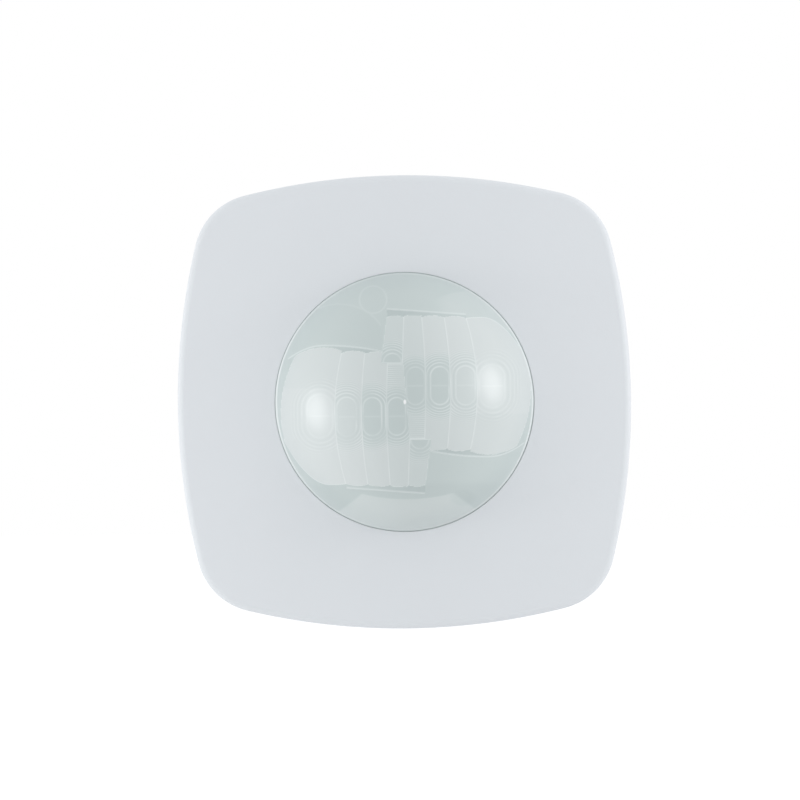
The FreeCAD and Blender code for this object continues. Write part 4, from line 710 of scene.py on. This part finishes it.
def dress_nodes():
    """Gives every CAD node its own finish."""
    grey = moulded("shell_grey", (0.62, 0.64, 0.65), 0.5)
    tray = moulded("tray_white", (0.74, 0.76, 0.74), 0.5)
    insert = moulded("insert_grey", (0.25, 0.27, 0.28), 0.5, depth=0.00002)
    black = moulded("black_plastic", (0.022, 0.022, 0.025), 0.45)
    zinc = metal("zinc_plate", (0.50, 0.51, 0.52), 0.36, 0.0006, (1.0, 1.0, 0.06), 0.000008)
    screw = metal("screw_zinc", (0.52, 0.52, 0.51), 0.28)
    tin = metal("tinned_copper", (0.66, 0.64, 0.60), 0.3)
    brass = metal("brass", (0.78, 0.60, 0.30), 0.28)
    can = metal("drawn_can", (0.60, 0.61, 0.62), 0.24, stretch=(1.0, 0.1, 1.0))
    board = circuit_board("board_green")
    window = moulded("pyro_filter", (0.02, 0.015, 0.02), 0.12, depth=0.000001)
    dial = moulded("dial_white", (0.80, 0.80, 0.78), 0.4)
    finishes = {
        "cover_frame": moulded("cover_white", WHITE, 0.55, 0.00035, 0.000012, variation=0.01),
        "front_shell": grey,
        "rear_shell": grey,
        "lens_ring": moulded("ring_grey", (0.70, 0.72, 0.73), 0.45),
        "inner_mask": tray,
        "pyro_holder": tray,
        "mounting_bracket": zinc,
        "insert_screws": screw,
        "module_screws": screw,
        "lens_ring_screws": screw,
        "insert_housing": insert,
        "insert_lid": insert,
        "power_board": board,
        "sensor_board": board,
        "relay": moulded("relay_blue", (0.020, 0.085, 0.26), 0.35),
        "transformer": moulded("winding_yellow", (0.62, 0.44, 0.10), 0.4),
        "mains_capacitor": moulded("capacitor_yellow", (0.72, 0.52, 0.06), 0.3),
        "bulk_capacitor": can,
        "varistor": moulded("varistor_blue", (0.03, 0.12, 0.36), 0.3),
        "mains_fuse": clear_plastic("fuse_glass", (0.85, 0.88, 0.88)),
        "socket_connector": black,
        "pin_header": black,
        "header_pins": brass,
        "terminal_block": moulded("terminal_grey", (0.16, 0.18, 0.19), 0.45),
        "terminal_tongues": tin,
        "pyro_can_left": can,
        "pyro_can_right": can,
        "pyro_window_left": window,
        "pyro_window_right": window,
        "pyro_leads": tin,
        "light_diode": black,
        "light_guide": clear_plastic("guide_clear", (0.93, 0.95, 0.95)),
        "microcontroller": black,
        "infrared_receiver": black,
        "status_led": moulded("led_red", (0.55, 0.03, 0.02), 0.2),
        "board_capacitors": can,
        "trimmer_bases": black,
        "time_dial": dial,
        "light_dial": dial,
        "dip_switch": moulded("dip_red", (0.40, 0.02, 0.015), 0.4),
        "tact_switch": black,
        "program_button": moulded("button_grey", (0.06, 0.07, 0.075), 0.4),
    }
    for number in range(1, 5):
        finishes[f"clamp_cage_{number}"] = screw
        finishes[f"clamp_screw_{number}"] = screw
        finishes[f"dip_slider_{number}"] = dial
    for name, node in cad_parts.items():
        if name == "lens_dome":
            continue
        node.data.materials.clear()
        node.data.materials.append(finishes[name])


# ---------------------------------------------------------------- stage, light and camera

# How bright the sky is level with the sensor, and straight above it.
FILL_LEVEL = 0.74
FILL_ABOVE = 1.02
FLOOR_DROP = 0.16
FLOOR_HALF_WIDTH = 3.0
FLOOR_LIFT = 0.34
KEY_ENERGY = 0.75
KEY_DIAMETER = 0.24
CAMERA_ROLL = 0.54


def make_world():
    """White behind the object for the eye and for reflections, and a soft even light on it."""
    world = bpy.data.worlds.new("studio")
    bpy.context.scene.world = world
    world.use_nodes = True
    nodes, links = world.node_tree.nodes, world.node_tree.links
    nodes.clear()
    output = nodes.new("ShaderNodeOutputWorld")
    mixed = nodes.new("ShaderNodeMixShader")
    fill = add(nodes, "ShaderNodeBackground", Color=(0.97, 0.985, 1.0, 1.0))
    towards = nodes.new("ShaderNodeSeparateXYZ")
    links.new(nodes.new("ShaderNodeTexCoord").outputs["Generated"], towards.inputs[0])
    strength = remap(nodes, links, towards.outputs["Z"], FILL_LEVEL, FILL_ABOVE, 0.0, 1.0)
    links.new(strength, fill.inputs["Strength"])
    white = add(nodes, "ShaderNodeBackground", Color=(1.0, 1.0, 1.0, 1.0), Strength=1.0)
    links.new(seen_directly(nodes, links), mixed.inputs[0])
    links.new(fill.outputs[0], mixed.inputs[1])
    links.new(white.outputs[0], mixed.inputs[2])
    links.new(mixed.outputs[0], output.inputs[0])


def seen_directly(nodes, links):
    """1 for a camera, glossy or transmission ray, and 0 for the rest."""
    path = nodes.new("ShaderNodeLightPath")
    total = None
    for name in ("Is Camera Ray", "Is Glossy Ray", "Is Transmission Ray"):
        if total is None:
            total = path.outputs[name]
            continue
        larger = add(nodes, "ShaderNodeMath", operation="MAXIMUM")
        links.new(total, larger.inputs[0])
        links.new(path.outputs[name], larger.inputs[1])
        total = larger.outputs[0]
    return total


def make_floor():
    """A plain pale floor well under the sensor, which is held up at wall height."""
    half = FLOOR_HALF_WIDTH
    level = float(COVER_LOW[2]) - FLOOR_DROP
    corners = [(-half, -half, level), (half, -half, level), (half, half, level), (-half, half, level)]
    floor = new_mesh("floor", corners, [(0, 1, 2, 3)], smooth=False)
    material, nodes, links, surface = new_material("pale_floor")
    surface.inputs["Base Color"].default_value = (0.80, 0.80, 0.80, 1.0)
    surface.inputs["Roughness"].default_value = 0.9
    # A little is added for the eye alone, which takes the lit floor up to white and leaves its shadow.
    lift = maths(nodes, links, "MULTIPLY", seen_directly(nodes, links), FLOOR_LIFT)
    glow = add(nodes, "ShaderNodeEmission", Color=(1.0, 1.0, 1.0, 1.0))
    links.new(lift, glow.inputs["Strength"])
    both = nodes.new("ShaderNodeAddShader")
    links.new(surface.outputs[0], both.inputs[0])
    links.new(glow.outputs[0], both.inputs[1])
    links.new(both.outputs[0], nodes["Material Output"].inputs[0])
    floor.data.materials.append(material)


def area_light(name, place, target, size, energy):
    lamp = bpy.data.lights.new(name, "AREA")
    lamp.shape = "DISK"
    lamp.size = size
    lamp.energy = energy
    light = bpy.data.objects.new(name, lamp)
    light.location = place
    light.rotation_euler = (Vector(target) - Vector(place)).to_track_quat("-Z", "Y").to_euler()
    bpy.context.collection.objects.link(light)


def make_lights():
    """Two round lamps at the sides, whose highlights stand on the lens's two outer strips."""
    middle = (0.0, -0.015, 0.0)
    area_light("left_light", (-0.56, -0.11, -0.05), middle, KEY_DIAMETER, KEY_ENERGY)
    area_light("right_light", (0.56, -0.11, 0.11), middle, KEY_DIAMETER, KEY_ENERGY)


def make_camera():
    """Square in front of the sensor, a touch off its axis and turned by a fraction of a degree."""
    camera = bpy.data.cameras.new("camera")
    camera.lens = 100.0
    camera.sensor_width = 36.0
    camera.clip_start = 0.01
    view = bpy.data.objects.new("camera", camera)
    view.location = (-0.94 * MM, -474.0 * MM, 0.40 * MM)
    view.rotation_euler = (math.radians(90), math.radians(CAMERA_ROLL), 0)
    bpy.context.collection.objects.link(view)
    bpy.context.scene.camera = view
    bpy.context.scene.view_settings.view_transform = "Standard"


make_camera()
make_world()
make_floor()
make_lights()
dress_nodes()
make_lens()
make_gate()
